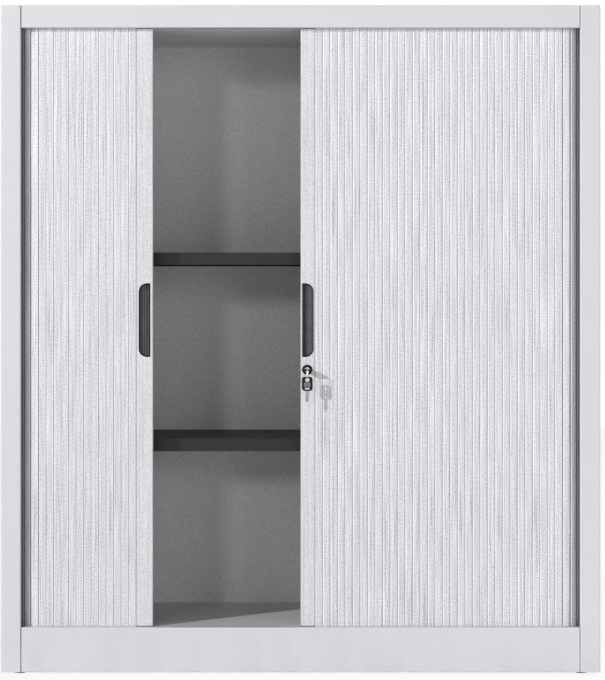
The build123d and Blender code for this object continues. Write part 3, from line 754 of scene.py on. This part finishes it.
@dataclass
class Shutter:
    """Upright slats hooked into each other, from the lead rail round the corner into the side pocket."""

    side: Side
    rail_edge: float
    first_strip: int
    finishes: Finishes
    section: SlatSection = SlatSection()
    hinge_depth: float = 19.0
    corner_x: float = 526.65
    corner_rows: int = 4
    led_rows: int = 4
    behind_stile: Pair = (560.0, 582.0)
    beside_rail: Pair = (518.2, 541.0)
    rail_handicap: float = 3.0
    nesting: float = 0.3
    blend_span: float = 1000.0

    @property
    def rows(self) -> int:
        """How many slats stand between the rail and the corner at rest."""
        return round((self.corner_x - self.rail_edge) / self.section.pitch)

    @property
    def corner_radius(self) -> float:
        """Radius of the track's bend, on which the hinges lie."""
        return self.section.pitch / 2 / math.sin(math.radians(45.0 / self.corner_rows))

    def hinge(self, row: int) -> Pair:
        """Where the hinge before a slat lies, counted from the start of the corner.

        Args:
            row: Zero at the corner's start, below it on the front, above it round the corner.

        Returns:
            Outward distance and depth.
        """
        radius = self.corner_radius
        if row <= 0:
            return self.corner_x + row * self.section.pitch, self.hinge_depth
        if row <= self.corner_rows:
            turn = math.radians(90.0 * row / self.corner_rows)
            out = radius * math.sin(turn)
            return self.corner_x + out, self.hinge_depth + radius * (1.0 - math.cos(turn))
        past = (row - self.corner_rows) * self.section.pitch
        return self.corner_x + radius, self.hinge_depth + radius + past

    def add_slat(self, form: Form, start: Pair, end: Pair, number: int) -> None:
        """Adds one slat to a surface.

        Args:
            form: The surface.
            start: Outward distance and depth of the hinge on its lead side.
            end: The same of its other hinge.
            number: Its place in the shutter, which picks its strip of the finish.
        """
        length = math.dist(start, end)
        outline = replace(self.section, pitch=length).outline()
        along = ((end[0] - start[0]) / length, (end[1] - start[1]) / length)
        places = []
        for across, deep in outline:
            out = start[0] + across * along[0] - deep * along[1]
            depth = start[1] + across * along[1] + deep * along[0]
            places.append((out * self.side.value, depth))
        bottom = form.loop((x, depth, self.section.low) for x, depth in places)
        top = form.loop((x, depth, self.section.high) for x, depth in places)
        form.bridge(bottom, top)
        # Hooks, web and both ends take the dark grey second finish: painted shade seen through the gaps between
        # slats
        for index, vertex in enumerate(bottom):
            following = bottom[(index + 1) % len(bottom)]
            band = next(face for face in vertex.link_faces if following in face.verts)
            band.material_index = 0 if index < self.section.skin_sides else 1
        for end_row in (bottom, top):
            form.cap(end_row).material_index = 1
        steps = [math.dist(here, there) * MM for here, there in zip(outline, outline[1:])]
        lengths = accumulate(steps, initial=(self.first_strip + number) * STRIP)
        for across, corners in zip(lengths, zip(bottom, top)):
            for vertex in corners:
                for corner in vertex.link_loops:
                    corner[form.uv].uv = (across, vertex.co.z)

    def travel(self) -> Pair:
        """How far the rail moves from rest.

        Returns:
            Its way outwards to open and inwards to close.
        """
        joint = next(j for j in frame["joints"] if j["name"] == f"{self.side.word}_shutter_slide")
        ends = [limit / MM * self.side.value for limit in joint["range_m"]]
        return max(ends), -min(ends)

    def share(self, row: int, closed_row: int) -> float:
        """Share of the rail's travel with which a slat goes from its rest row to its closed row.

        Args:
            row: Its row at rest, counted from the rail.
            closed_row: Its row once the shutter is closed.

        Returns:
            The share; where the shutter is closed at rest, the one that takes the slat behind the stile
            as it opens.
        """
        opening, closing = self.travel()
        if closing < self.section.pitch:
            return (sum(self.behind_stile) / 2 - self.rail_edge - row * self.section.pitch) / opening
        return 1.0 - self.section.pitch * (closed_row - row) / closing

    def exposure(self, row: int, closed_row: int) -> float:
        """How far from a hidden place a slat ends up once the shutter is open.

        Args:
            row: Its row at rest.
            closed_row: Its row once the shutter is closed.

        Returns:
            The distance, longer by a handicap where the place is the one beside the rail.
        """
        share = self.share(row, closed_row)
        if not 0.0 <= share <= 1.0:
            return math.inf
        opened = self.rail_edge + row * self.section.pitch + share * self.travel()[0]
        hidden = (self.behind_stile, self.beside_rail)
        stile_miss, rail_miss = (max(low - opened, opened - high, 0.0) for low, high in hidden)
        return min(stile_miss, rail_miss + self.rail_handicap)

    def front_slats(self) -> list[tuple[int, float]]:
        """Lists the slats that the front can show.

        Returns:
            Rest row and share of the rail's travel of every slat.
        """
        slats = [(row, 1.0) for row in range(self.led_rows)]
        closing = self.travel()[1]
        if closing < self.section.pitch:
            return slats + [(row, self.share(row, row)) for row in range(self.led_rows, self.rows)]
        closed_rows = int((self.corner_x - self.rail_edge + closing) / self.section.pitch)
        for closed_row in range(self.led_rows, closed_rows):
            row = min(range(self.rows), key=lambda n: self.exposure(n, closed_row))
            slats.append((row, self.share(row, closed_row)))
        return slats

    def carry(self, piece: bpy.types.Object, share: float) -> None:
        """Hangs a slat on the lead rail if it makes all of the rail's travel, or on the carcass if it makes none;
        any other slat only has its place baked into its mesh.

        Args:
            piece: The slat.
            share: The share.
        """
        lead = f"{self.side.word}_lead"
        if share >= 1.0 or share <= 0.0:
            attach(piece, lead if share >= 1.0 else "carcass")
            return
        # A blend eases between its two ends; the place on that eased curve for the share is worked out but not
        # used.
        along = 0.5 - math.sin(math.asin(1.0 - 2.0 * share) / 3.0)
        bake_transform(piece)

    def make_slat(self, name: str, start: Pair, end: Pair, number: int, share: float) -> None:
        """Makes one slat of the front as a piece of its own.

        Args:
            name: Last part of its name.
            start: Outward distance and depth of the hinge on its lead side.
            end: The same of its other hinge.
            number: Its place in the shutter.
            share: Share of the rail's travel that it makes.
        """
        form = Form(f"{self.side.word}_slat_{name}")
        self.add_slat(form, start, end, number)
        slat = form.finish()
        self.finishes.dress_slat(slat)
        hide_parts(f"{self.side.word}_shutter_front")
        self.carry(slat, share)

    def make_stretch(self, name: str, rows: range) -> None:
        """Makes a stretch of slats round the corner or in the pocket, which stay where they are.

        Args:
            name: Last part of its name and of the node's that it replaces.
            rows: Its rows, counted from the start of the corner.
        """
        form = Form(f"{self.side.word}_slats_{name}")
        for row in rows:
            self.add_slat(form, self.hinge(row), self.hinge(row + 1), self.rows + row)
        stretch = form.finish()
        self.finishes.dress_slat(stretch)
        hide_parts(f"{self.side.word}_shutter_{name}")
        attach(stretch, "carcass")
        log.info("%s: %d slats", stretch.name, len(rows))

    def pocket_count(self) -> int:
        """How many slats stand in the side pocket at rest."""
        low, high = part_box(f"{self.side.word}_shutter_tail")
        return round((high.y - low.y) / MM / self.section.pitch)

    def build(self) -> None:
        """Makes the front slats one by one, and the stretches round the corner and in the pocket."""
        nested = [0] * self.rows
        for number, (row, share) in enumerate(self.front_slats()):
            back = nested[row] * self.nesting
            nested[row] += 1
            hinges = (self.hinge(row - self.rows), self.hinge(row - self.rows + 1))
            start, end = ((out, depth + back) for out, depth in hinges)
            self.make_slat(f"{number:02d}", start, end, number, share)
        if self.travel()[1] > self.section.pitch:
            depth = self.hinge_depth + nested[-1] * self.nesting
            self.make_slat("filler", (self.beside_rail[0], depth), (self.corner_x, depth), self.rows, 0.0)
        log.info("%s shutter: %d front slats", self.side.word, sum(nested))
        self.make_stretch("corner", range(self.corner_rows))
        self.make_stretch("tail", range(self.corner_rows, self.corner_rows + self.pocket_count()))


# ---------------------------------------------------------------------------------------------
# Handles
# ---------------------------------------------------------------------------------------------


@dataclass
class HandleCup:
    """Black finger cup sunk into a lead rail: deep along its straight side, ribbed, and closed behind."""

    side: Side
    finishes: Finishes
    face: float = 14.5
    proud: float = 0.8
    cad_flange: float = 1.0
    flange: float = 0.5
    flange_edge: float = 0.35
    mouth_edge: float = 0.45
    wall: float = 1.5
    deep: float = 10.6
    shallow: float = 4.2
    slope_power: float = 1.15
    floor_gap: float = 0.2
    back: float = 12.0
    corner: float = 16.0
    tight_corner: float = 1.2
    corner_steps: int = 12
    side_steps: int = 8
    rib_pitch: float = 5.0
    rib_height: float = 1.5
    floor_steps: int = 60
    floor_rows: tuple[int, int] = (10, 6)

    def extent(self) -> tuple[Pair, Pair]:
        """Measures the opening in the rail, without the flange.

        Returns:
            Its outward extent and its height.
        """
        low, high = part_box(f"{self.side.word}_handle_cup")
        ends = sorted((low.x / MM * self.side.value, high.x / MM * self.side.value))
        inset = self.cad_flange
        return (ends[0] + inset, ends[1] - inset), (low.z / MM + inset, high.z / MM - inset)

    def outline(self, grow: float) -> list[Pair]:
        """Draws the cup's D shape, straight towards the leading edge.

        Args:
            grow: How far outside the opening it runs.

        Returns:
            Outward distance and height of its points.
        """
        (near, far), (low, high) = self.extent()
        near, far, low, high = near - grow, far + grow, low - grow, high + grow
        radius, tight = self.corner + grow, self.tight_corner
        points = [(near, high - (high - low) * step / self.side_steps) for step in range(self.side_steps)]
        points += arc((near + tight, low + tight), tight, 180, 270, steps=3)[1:-1]
        points += arc((far - radius, low + radius), radius, 270, 360, self.corner_steps)
        points += arc((far - radius, high - radius), radius, 0, 90, self.corner_steps)
        return points

    def ring(self, form: Form, grow: float, depth: float) -> list[bmesh.types.BMVert]:
        """A row of points round the outline at one depth."""
        sign = self.side.value
        return form.loop((out * sign, depth, z) for out, z in self.outline(grow))

    def floor_depth(self, share: float, out: float) -> float:
        """Depth of the cup's ribbed floor behind the rail's face.

        Args:
            share: How far across the cup, from its straight side.
            out: Outward distance, on which the ribs lie.

        Returns:
            The depth.
        """
        slope = share**self.slope_power
        rib = self.rib_height * (0.5 + 0.5 * math.cos(2.0 * math.pi * out / self.rib_pitch))
        return self.deep + (self.shallow - self.deep) * slope - rib

    def add_floor(self, form: Form) -> None:
        """Adds the floor, row by row up the cup.

        Args:
            form: The cup's surface.
        """
        (near, far), (low, high) = self.extent()
        near, far, low, high = near + self.wall, far - self.wall, low + self.wall, high - self.wall
        radius = self.corner - self.wall
        turned, straight = self.floor_rows
        turns = [math.pi / 2 * step / turned for step in range(turned)]
        heights = [low + radius * (1.0 - math.cos(turn)) for turn in turns]
        middle = [low + radius + (high - low - 2 * radius) * step / straight for step in range(straight + 1)]
        heights += middle + [low + high - z for z in reversed(heights)]
        rows = []
        for z in heights:
            past = max(0.0, low + radius - z, z - (high - radius))
            reach = far - radius + math.sqrt(max(0.0, radius**2 - past**2))
            row = []
            for step in range(self.floor_steps + 1):
                out = near + (reach - near) * step / self.floor_steps
                depth = self.face + self.floor_depth((out - near) / (far - near), out)
                row.append((out * self.side.value, depth, z))
            rows.append(form.loop(row))
        before = set(form.mesh.faces)
        form.sheet(rows)
        for face in set(form.mesh.faces) - before:
            face.material_index = 1

    def build(self) -> None:
        """Makes the cup: its flange and walls from the back of the opening round to the floor."""
        form = Form(f"{self.side.word}_cup")
        front = self.face - self.proud
        rim = [
            self.ring(form, 0.0, self.face + self.back),
            self.ring(form, 0.0, self.face),
            self.ring(form, self.flange, self.face),
            self.ring(form, self.flange, front + self.flange_edge),
            self.ring(form, self.flange - self.flange_edge, front),
            self.ring(form, self.mouth_edge - self.wall, front),
            self.ring(form, -self.wall, front + self.mouth_edge),
            self.ring(form, -self.wall, self.face + self.deep + self.floor_gap),
        ]
        for first, second in zip(rim, rim[1:]):
            form.bridge(first, second)
        form.cap(rim[0])
        form.cap(rim[-1])
        self.add_floor(form)
        cup = form.finish()
        self.finishes.dress(cup, "black_plastic")
        cup.data.materials.append(self.finishes.grip)
        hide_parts(f"{self.side.word}_handle_cup")
        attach(cup, f"{self.side.word}_lead")
        log.info("%s handle cup", self.side.word)


# ---------------------------------------------------------------------------------------------
# Lock and keys
# ---------------------------------------------------------------------------------------------


@dataclass
class Key:
    """Flat key on its own axes: across, along from the shoulder to the tip, and through its thickness.

    A cut is its place along the blade and its depth, the groove's points are places across the blade and
    depths, the tip is its length and the share of the width at its end, and the bevel is its width and
    depth. The hole is its place along the key and its radius. Slot and pad are extents across and along.
    """

    name: str
    replaced: str
    body: str
    place: Matrix
    finishes: Finishes
    half_blade: float = 3.7
    blade_length: float = 22.0
    blade_root: float = 3.0
    blade_half_thickness: float = 1.0
    cuts: tuple[Pair, ...] = ((5.5, 1.0), (9.0, 1.8), (12.5, 0.8), (16.0, 1.5))
    cut_steps: tuple[float, float, float, float] = (-0.3, 0.5, 1.7, 2.5)
    groove: tuple[Pair, ...] = ((-1.6, 0.0), (-1.3, 0.5), (-0.1, 0.5), (0.2, 0.0))
    bevel: Pair = (0.9, 0.55)
    tip: Pair = (2.4, 0.36)
    half_head: float = 10.75
    head_length: float = 28.0
    head_half_thickness: float = 1.5
    head_corner: float = 5.0
    head_shoulder: float = 4.0
    head_rounding: float = 0.45
    hole: Pair = (-22.2, 4.3)
    slot: tuple[Pair, Pair] = ((-5.0, 5.0), (-6.0, -2.8))
    pad: tuple[Pair, Pair] = ((-6.6, 6.6), (-17.2, -7.2))
    pad_corner: float = 1.6
    pad_sunk: float = 0.2
    pad_proud: float = 0.3
    pad_rounding: float = 0.2

    def blade_section(self, along: float, cut: float, narrow: float) -> list[Triple]:
        """Section of the blade, bevelled along both edges, with a milled groove in both faces.

        Args:
            along: Where along the key it lies.
            cut: How deep one edge is cut there.
            narrow: Share of the full width.

        Returns:
            Its points on the key's own axes.
        """
        thick = self.blade_half_thickness
        left, right = -self.half_blade * narrow, (self.half_blade - cut) * narrow
        bevel, edge = self.bevel[0] * narrow, thick - self.bevel[1]
        face = [(left, edge), (left + bevel, thick)]
        face += [(across * narrow, thick - deep) for across, deep in self.groove]
        face += [(right - bevel, thick), (right, edge)]
        face += [(across, -deep) for across, deep in reversed(face)]
        return [(across, along, deep) for across, deep in face]

    def blade(self) -> None:
        """Makes the blade, with its cuts along one edge, and darkens all but its two outer faces with painted
        shade.
        """
        stations = [(-self.blade_root, 0.0, 1.0), (0.0, 0.0, 1.0)]
        for start, deep in self.cuts:
            floor = (0.0, deep, deep, 0.0)
            stations += [(start + along, cut, 1.0) for along, cut in zip(self.cut_steps, floor)]
        tip_length, tip_width = self.tip
        stations += [(self.blade_length - tip_length, 0.0, 1.0), (self.blade_length, 0.0, tip_width)]
        form = Form(f"{self.name}_blade", self.place)
        form.loft([self.blade_section(*station) for station in stations])
        blade = self.fit(form, "nickel", "blade")
        blade.data.materials[0] = self.finishes.key_steel
        # Painted shade: the darker plate goes on every face of the blade except its two outer ones
        blade.data.materials.append(self.finishes.tarnish)
        through = self.place.to_3x3() @ Vector((0.0, 0.0, 1.0))
        for face in blade.data.polygons:
            middle = (self.place.inverted() @ face.center).z / MM
            outer = abs(middle) > 0.8 * self.blade_half_thickness
            face.material_index = 0 if outer and abs(face.normal.dot(through)) > 0.9 else 1

    def head(self) -> None:
        """Makes the moulded head, with a round hole for the ring and a slot by the blade."""
        half, corner, shoulder = self.half_head, self.head_corner, self.head_shoulder
        end = corner - self.head_length
        outline = arc((half - corner, end), corner, 270, 360, steps=6)
        outline += [(half, -shoulder), (half - shoulder, 0.0), (shoulder - half, 0.0), (-half, -shoulder)]
        outline += arc((corner - half, end), corner, 180, 270, steps=6)
        hole = circle((0.0, self.hole[0]), self.hole[1], points=24)
        (left, right), (low, high) = self.slot
        bend = (high - low) / 2
        slot = arc((right - bend, low + bend), bend, -90, 90, steps=6)
        slot += arc((left + bend, low + bend), bend, 90, 270, steps=6)
        form = Form(f"{self.name}_head", self.place)
        thick = self.head_half_thickness
        form.plate([outline, hole, slot], -thick, thick, self.head_rounding)
        self.fit(form, "black_plastic", "head")

    def pads(self) -> None:
        """Makes the raised pad on each face of the head."""
        (left, right), (low, high) = self.pad
        corner = self.pad_corner
        centres = [(right - corner, low + corner), (right - corner, high - corner)]
        centres += [(left + corner, high - corner), (left + corner, low + corner)]
        outline = []
        for turn, centre in enumerate(centres):
            outline += arc(centre, corner, 90 * turn - 90, 90 * turn, steps=4)
        face = self.head_half_thickness
        for word, sign in (("front", 1.0), ("back", -1.0)):
            form = Form(f"{self.name}_pad_{word}", self.place)
            ends = sorted((sign * (face - self.pad_sunk), sign * (face + self.pad_proud)))
            form.plate([outline], ends[0], ends[1], self.pad_rounding)
            pad = form.finish()
            pad.data.materials.append(self.finishes.pad)
            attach(pad, self.body)

    def fit(self, form: Form, slot: str, part: str) -> bpy.types.Object:
        """Dresses a part and sets it in the place of the frame's own.

        Args:
            form: Its surface.
            slot: Its material slot.
            part: Last part of the name of the node that it replaces.

        Returns:
            The new piece.
        """
        piece = form.finish()
        self.finishes.dress(piece, slot)
        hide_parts(f"{self.replaced}_{part}")
        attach(piece, self.body)
        log.info("%s", piece.name)
        return piece

    def build(self) -> None:
        """Makes the blade, the head and its pads."""
        self.blade()
        self.head()
        self.pads()


@dataclass
class LockAndKeys:
    """Lock face, the key in it, and a spare key that hangs from it by a split ring."""

    finishes: Finishes
    axis_x: float = 13.5
    axis_z: float = 610.0
    shoulder_depth: float = 11.8
    rosette_outer: tuple[Pair, ...] = ((10.3, 14.4), (10.3, 13.5), (9.8, 12.9), (8.6, 12.55))
    rosette_inner: tuple[Pair, ...] = ((7.4, 12.5), (5.4, 12.7), (5.0, 13.1))
    rosette_points: int = 48
    ring_depth: float = -17.95
    ring_z: float = 603.4
    ring_radius: float = 10.0
    ring_turns: int = 2
    ring_start: float = 0.6
    ring_steps: int = 120
    wire: float = 0.5
    coil_gap: float = 0.42
    crossing: Pair = (0.46, 0.54)
    ring_yaw: float = 6.0
    spare_z: float = 568.85

    def rosette(self) -> None:
        """Makes the black ring round the lock's face, from its profile of radius and depth."""
        form = Form("lock_rosette")
        made = []
        for radius, depth in self.rosette_outer + self.rosette_inner:
            ring = circle((self.axis_x, self.axis_z), radius, self.rosette_points)
            made.append(form.loop((x, depth, z) for x, z in ring))
        for first, second in zip(made, made[1:] + made[:1]):
            form.bridge(first, second)
        rosette = form.finish()
        self.finishes.dress(rosette, "black_plastic")
        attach(rosette, "right_lead")
        log.info("%s", rosette.name)

    def split_ring(self) -> None:
        """Makes the ring: two turns of wire side by side, hanging a little turned."""
        yaw = math.radians(self.ring_yaw)
        side = Vector((math.cos(yaw), math.sin(yaw), 0.0))
        ahead = Vector((-math.sin(yaw), math.cos(yaw), 0.0))
        up = Vector((0.0, 0.0, 1.0))
        centre = Vector((self.axis_x, self.ring_depth, self.ring_z))
        section = circle((0.0, 0.0), self.wire, points=8)
        leave, arrive = self.crossing
        rows = []
        for step in range(self.ring_steps + 1):
            share = step / self.ring_steps
            turn = 2.0 * math.pi * self.ring_turns * share + self.ring_start
            crossed = min(1.0, max(0.0, (share - leave) / (arrive - leave)))
            offset = self.coil_gap * (2.0 * crossed**2 * (3.0 - 2.0 * crossed) - 1.0)
            out = ahead * math.cos(turn) + up * math.sin(turn)
            middle = centre + out * self.ring_radius + side * offset
            rows.append([tuple(middle + out * across + side * along) for across, along in section])
        form = Form("split_ring")
        form.loft(rows)
        ring = form.finish(smooth_below=60.0)
        self.finishes.dress(ring, "nickel")
        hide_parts("key_ring")
        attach(ring, "key_ring")
        log.info("%s", ring.name)

    def build(self) -> None:
        """Makes the lock's face, both keys and the ring."""
        self.rosette()
        self.split_ring()
        in_lock = Matrix.Translation((self.axis_x * MM, FRONT + self.shoulder_depth * MM, self.axis_z * MM))
        Key("lock", "key", "lock_core", in_lock, self.finishes).build()
        hanging = Matrix.Translation((self.axis_x * MM, FRONT + self.ring_depth * MM, self.spare_z * MM))
        hanging = hanging @ Matrix.Rotation(-math.pi / 2, 4, "X")
        Key("spare", "spare_key", "spare_key", hanging, self.finishes).build()


# ---------------------------------------------------------------------------------------------
# Feet
# ---------------------------------------------------------------------------------------------


@dataclass
class Feet:
    """Round glides of the levelling feet, with a notched rim to turn them by.

    A level is its height and how far the rim is drawn in there.
    """

    finishes: Finishes
    radius: float = 12.5
    levels: tuple[Pair, ...] = ((0.0, 0.6), (0.5, 0.0), (4.0, 0.0), (5.0, 1.4))
    notches: int = 18
    notch_depth: float = 0.7
    notch_steps: int = 6
    sunk_steps: int = 2

    def rim(self, x: float, depth: float, z: float, inset: float) -> list[Triple]:
        """Points round the notched rim at one height.

        Args:
            x: Where the foot's axis lies.
            depth: The depth of its axis.
            z: The height.
            inset: How far the rim is drawn in.

        Returns:
            The points.
        """
        count = self.notches * self.notch_steps
        points = []
        for step in range(count):
            turn = 2.0 * math.pi * step / count
            notch = self.notch_depth if step % self.notch_steps < self.sunk_steps else 0.0
            reach = self.radius - inset - notch
            points.append((x + reach * math.cos(turn), depth + reach * math.sin(turn), z))
        return points

    def build(self) -> None:
        """Makes the four glides."""
        for end in ("front", "back"):
            for side in Side:
                place = f"{end}_{side.word}"
                low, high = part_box(f"foot_disc_{place}")
                x, depth = (low.x + high.x) / 2 / MM, ((low.y + high.y) / 2 - FRONT) / MM
                form = Form(f"foot_glide_{place}")
                form.loft([self.rim(x, depth, z, inset) for z, inset in self.levels])
                glide = form.finish()
                self.finishes.dress(glide, "black_plastic")
                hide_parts(f"foot_disc_{place}")
                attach(glide, f"foot_{place}")
        log.info("four foot glides")


# ---------------------------------------------------------------------------------------------
# Carried-over frame parts
# ---------------------------------------------------------------------------------------------


@dataclass
class Carcass:
    """Sheet-steel parts, rails, tracks and fittings that keep the shape of the frame."""

    finishes: Finishes

    def build(self) -> None:
        """Gives every shown frame part the finish of its slot."""
        slots = {part["node"]: part["material_slot"] for part in frame["record"]["subparts"]}
        for name, node in frame["nodes"].items():
            if node.hide_render:
                continue
            for holder in node.material_slots:
                holder.material = self.finishes.by_slot[slots[name]]
            log.info("%s: %s", name, slots[name])


# ---------------------------------------------------------------------------------------------
# Studio
# ---------------------------------------------------------------------------------------------


@dataclass(frozen=True)
class Lamp:
    """Square lamp: which way its light travels, how far off it hangs, its side and its power in watts."""

    name: str
    towards: Triple
    distance: float
    size: float
    power: float

    def hang(self, target: Triple) -> None:
        """Hangs the lamp so that it shines at a place.

        Args:
            target: The place, in metres.
        """
        data = bpy.data.lights.new(self.name, "AREA")
        data.size = self.size
        data.energy = self.power
        lamp = bpy.data.objects.new(self.name, data)
        heading = Vector(self.towards).normalized()
        lamp.location = Vector(target) - heading * self.distance
        lamp.rotation_euler = heading.to_track_quat("-Z", "Y").to_euler()
        bpy.context.scene.collection.objects.link(lamp)


@dataclass
class Studio:
    """Pale floor, square lamps with the main one at the upper left, white surroundings, the camera."""

    lamps: tuple[Lamp, ...] = (
        Lamp("key lamp", (1.1, 1.0, -0.54), 14.0, 0.35, 1170.0),
        Lamp("second lamp", (0.37, 1.0, -0.24), 14.0, 1.4, 175.0),
        Lamp("right lamp", (-0.49, 1.0, -0.05), 8.0, 3.0, 95.0),
        Lamp("rear lamp", (-0.75, -0.6, -0.55), 6.0, 3.0, 190.0),
    )
    lamp_target: Triple = (0.0, 0.0, 0.7)
    fill: float = 0.18
    floor_reach: float = 9000.0
    floor_tones: Pair = (0.86, 0.9)
    floor_cells: float = 6.0
    floor_roughness: float = 0.8
    floor_white: float = 0.88
    clear_rays: tuple[str, str, str] = ("Camera", "Glossy", "Transmission")
    eye_height: float = 770.0
    eye_distance: float = 5000.0
    sensor: float = 36.0
    lens: float = 132.3
    shift: Pair = (0.0029, -0.0735)

    def clear(self, shader: Shader) -> Socket:
        """One for the rays that are to meet plain white, and zero for all others.

        Args:
            shader: The node tree that it is for.

        Returns:
            The mask.
        """
        rays = [shader.node("ShaderNodeLightPath", output=f"Is {kind} Ray") for kind in self.clear_rays]
        return rays[0].at_least(rays[1]).at_least(rays[2])

    def floor(self) -> None:
        """Lays the floor, nearly white to the camera and in reflections."""
        reach = self.floor_reach
        form = Form("studio_floor")
        form.cap(form.loop([(-reach, -reach, 0), (reach, -reach, 0), (reach, reach, 0), (-reach, reach, 0)]))
        floor = form.finish()
        shader = Shader(bpy.data.materials.new("studio floor"))
        mottle = shader.noise(shader.place(), self.floor_cells, detail=3.0)
        tone = shader.blend(mottle, *((tone,) * 3 for tone in self.floor_tones))
        values = {"Base Color": tone, "Roughness": self.floor_roughness}
        matt = shader.node("ShaderNodeBsdfPrincipled", values=values)
        white = shader.node("ShaderNodeEmission", values={"Color": (1.0, 1.0, 1.0, 1.0)})
        share = self.clear(shader) * self.floor_white
        both = shader.node("ShaderNodeMixShader", values={0: share, 1: matt, 2: white})
        floor.data.materials.append(shader.show(both))

    def world(self) -> None:
        """Sets an even fill that looks white to the camera and in reflections."""
        world = bpy.data.worlds.new("studio")
        bpy.context.scene.world = world
        shader = Shader(world)
        strength = self.clear(shader) * (1.0 - self.fill) + self.fill
        values = {"Color": (1.0, 1.0, 1.0, 1.0), "Strength": strength}
        background = shader.node("ShaderNodeBackground", values=values)
        shader.node("ShaderNodeOutputWorld", values={"Surface": background})

    def camera(self) -> None:
        """Sets up the level camera, a little above the middle of the cabinet."""
        data = bpy.data.cameras.new("camera")
        data.sensor_width = self.sensor
        data.lens = self.lens
        data.shift_x, data.shift_y = self.shift
        camera = bpy.data.objects.new("camera", data)
        camera.location = (0.0, FRONT - self.eye_distance * MM, self.eye_height * MM)
        camera.rotation_euler = (math.pi / 2, 0.0, 0.0)
        bpy.context.scene.collection.objects.link(camera)
        bpy.context.scene.camera = camera

    def build(self) -> None:
        """Sets the whole studio up."""
        self.floor()
        for lamp in self.lamps:
            lamp.hang(self.lamp_target)
        self.world()
        self.camera()
        bpy.context.scene.view_settings.view_transform = "Standard"


def main() -> None:
    """Builds the studio and every sub-assembly in order."""
    logging.basicConfig(level=logging.INFO, format="%(name)s: %(message)s")
    finishes = Finishes()
    Studio().build()
    Shutter(Side.LEFT, rail_edge=331.0, first_strip=16, finishes=finishes).build()
    Shutter(Side.RIGHT, rail_edge=30.0, first_strip=0, finishes=finishes).build()
    HandleCup(Side.LEFT, finishes).build()
    HandleCup(Side.RIGHT, finishes).build()
    LockAndKeys(finishes).build()
    Feet(finishes).build()
    Carcass(finishes).build()


if __name__ == "__main__":
    main()
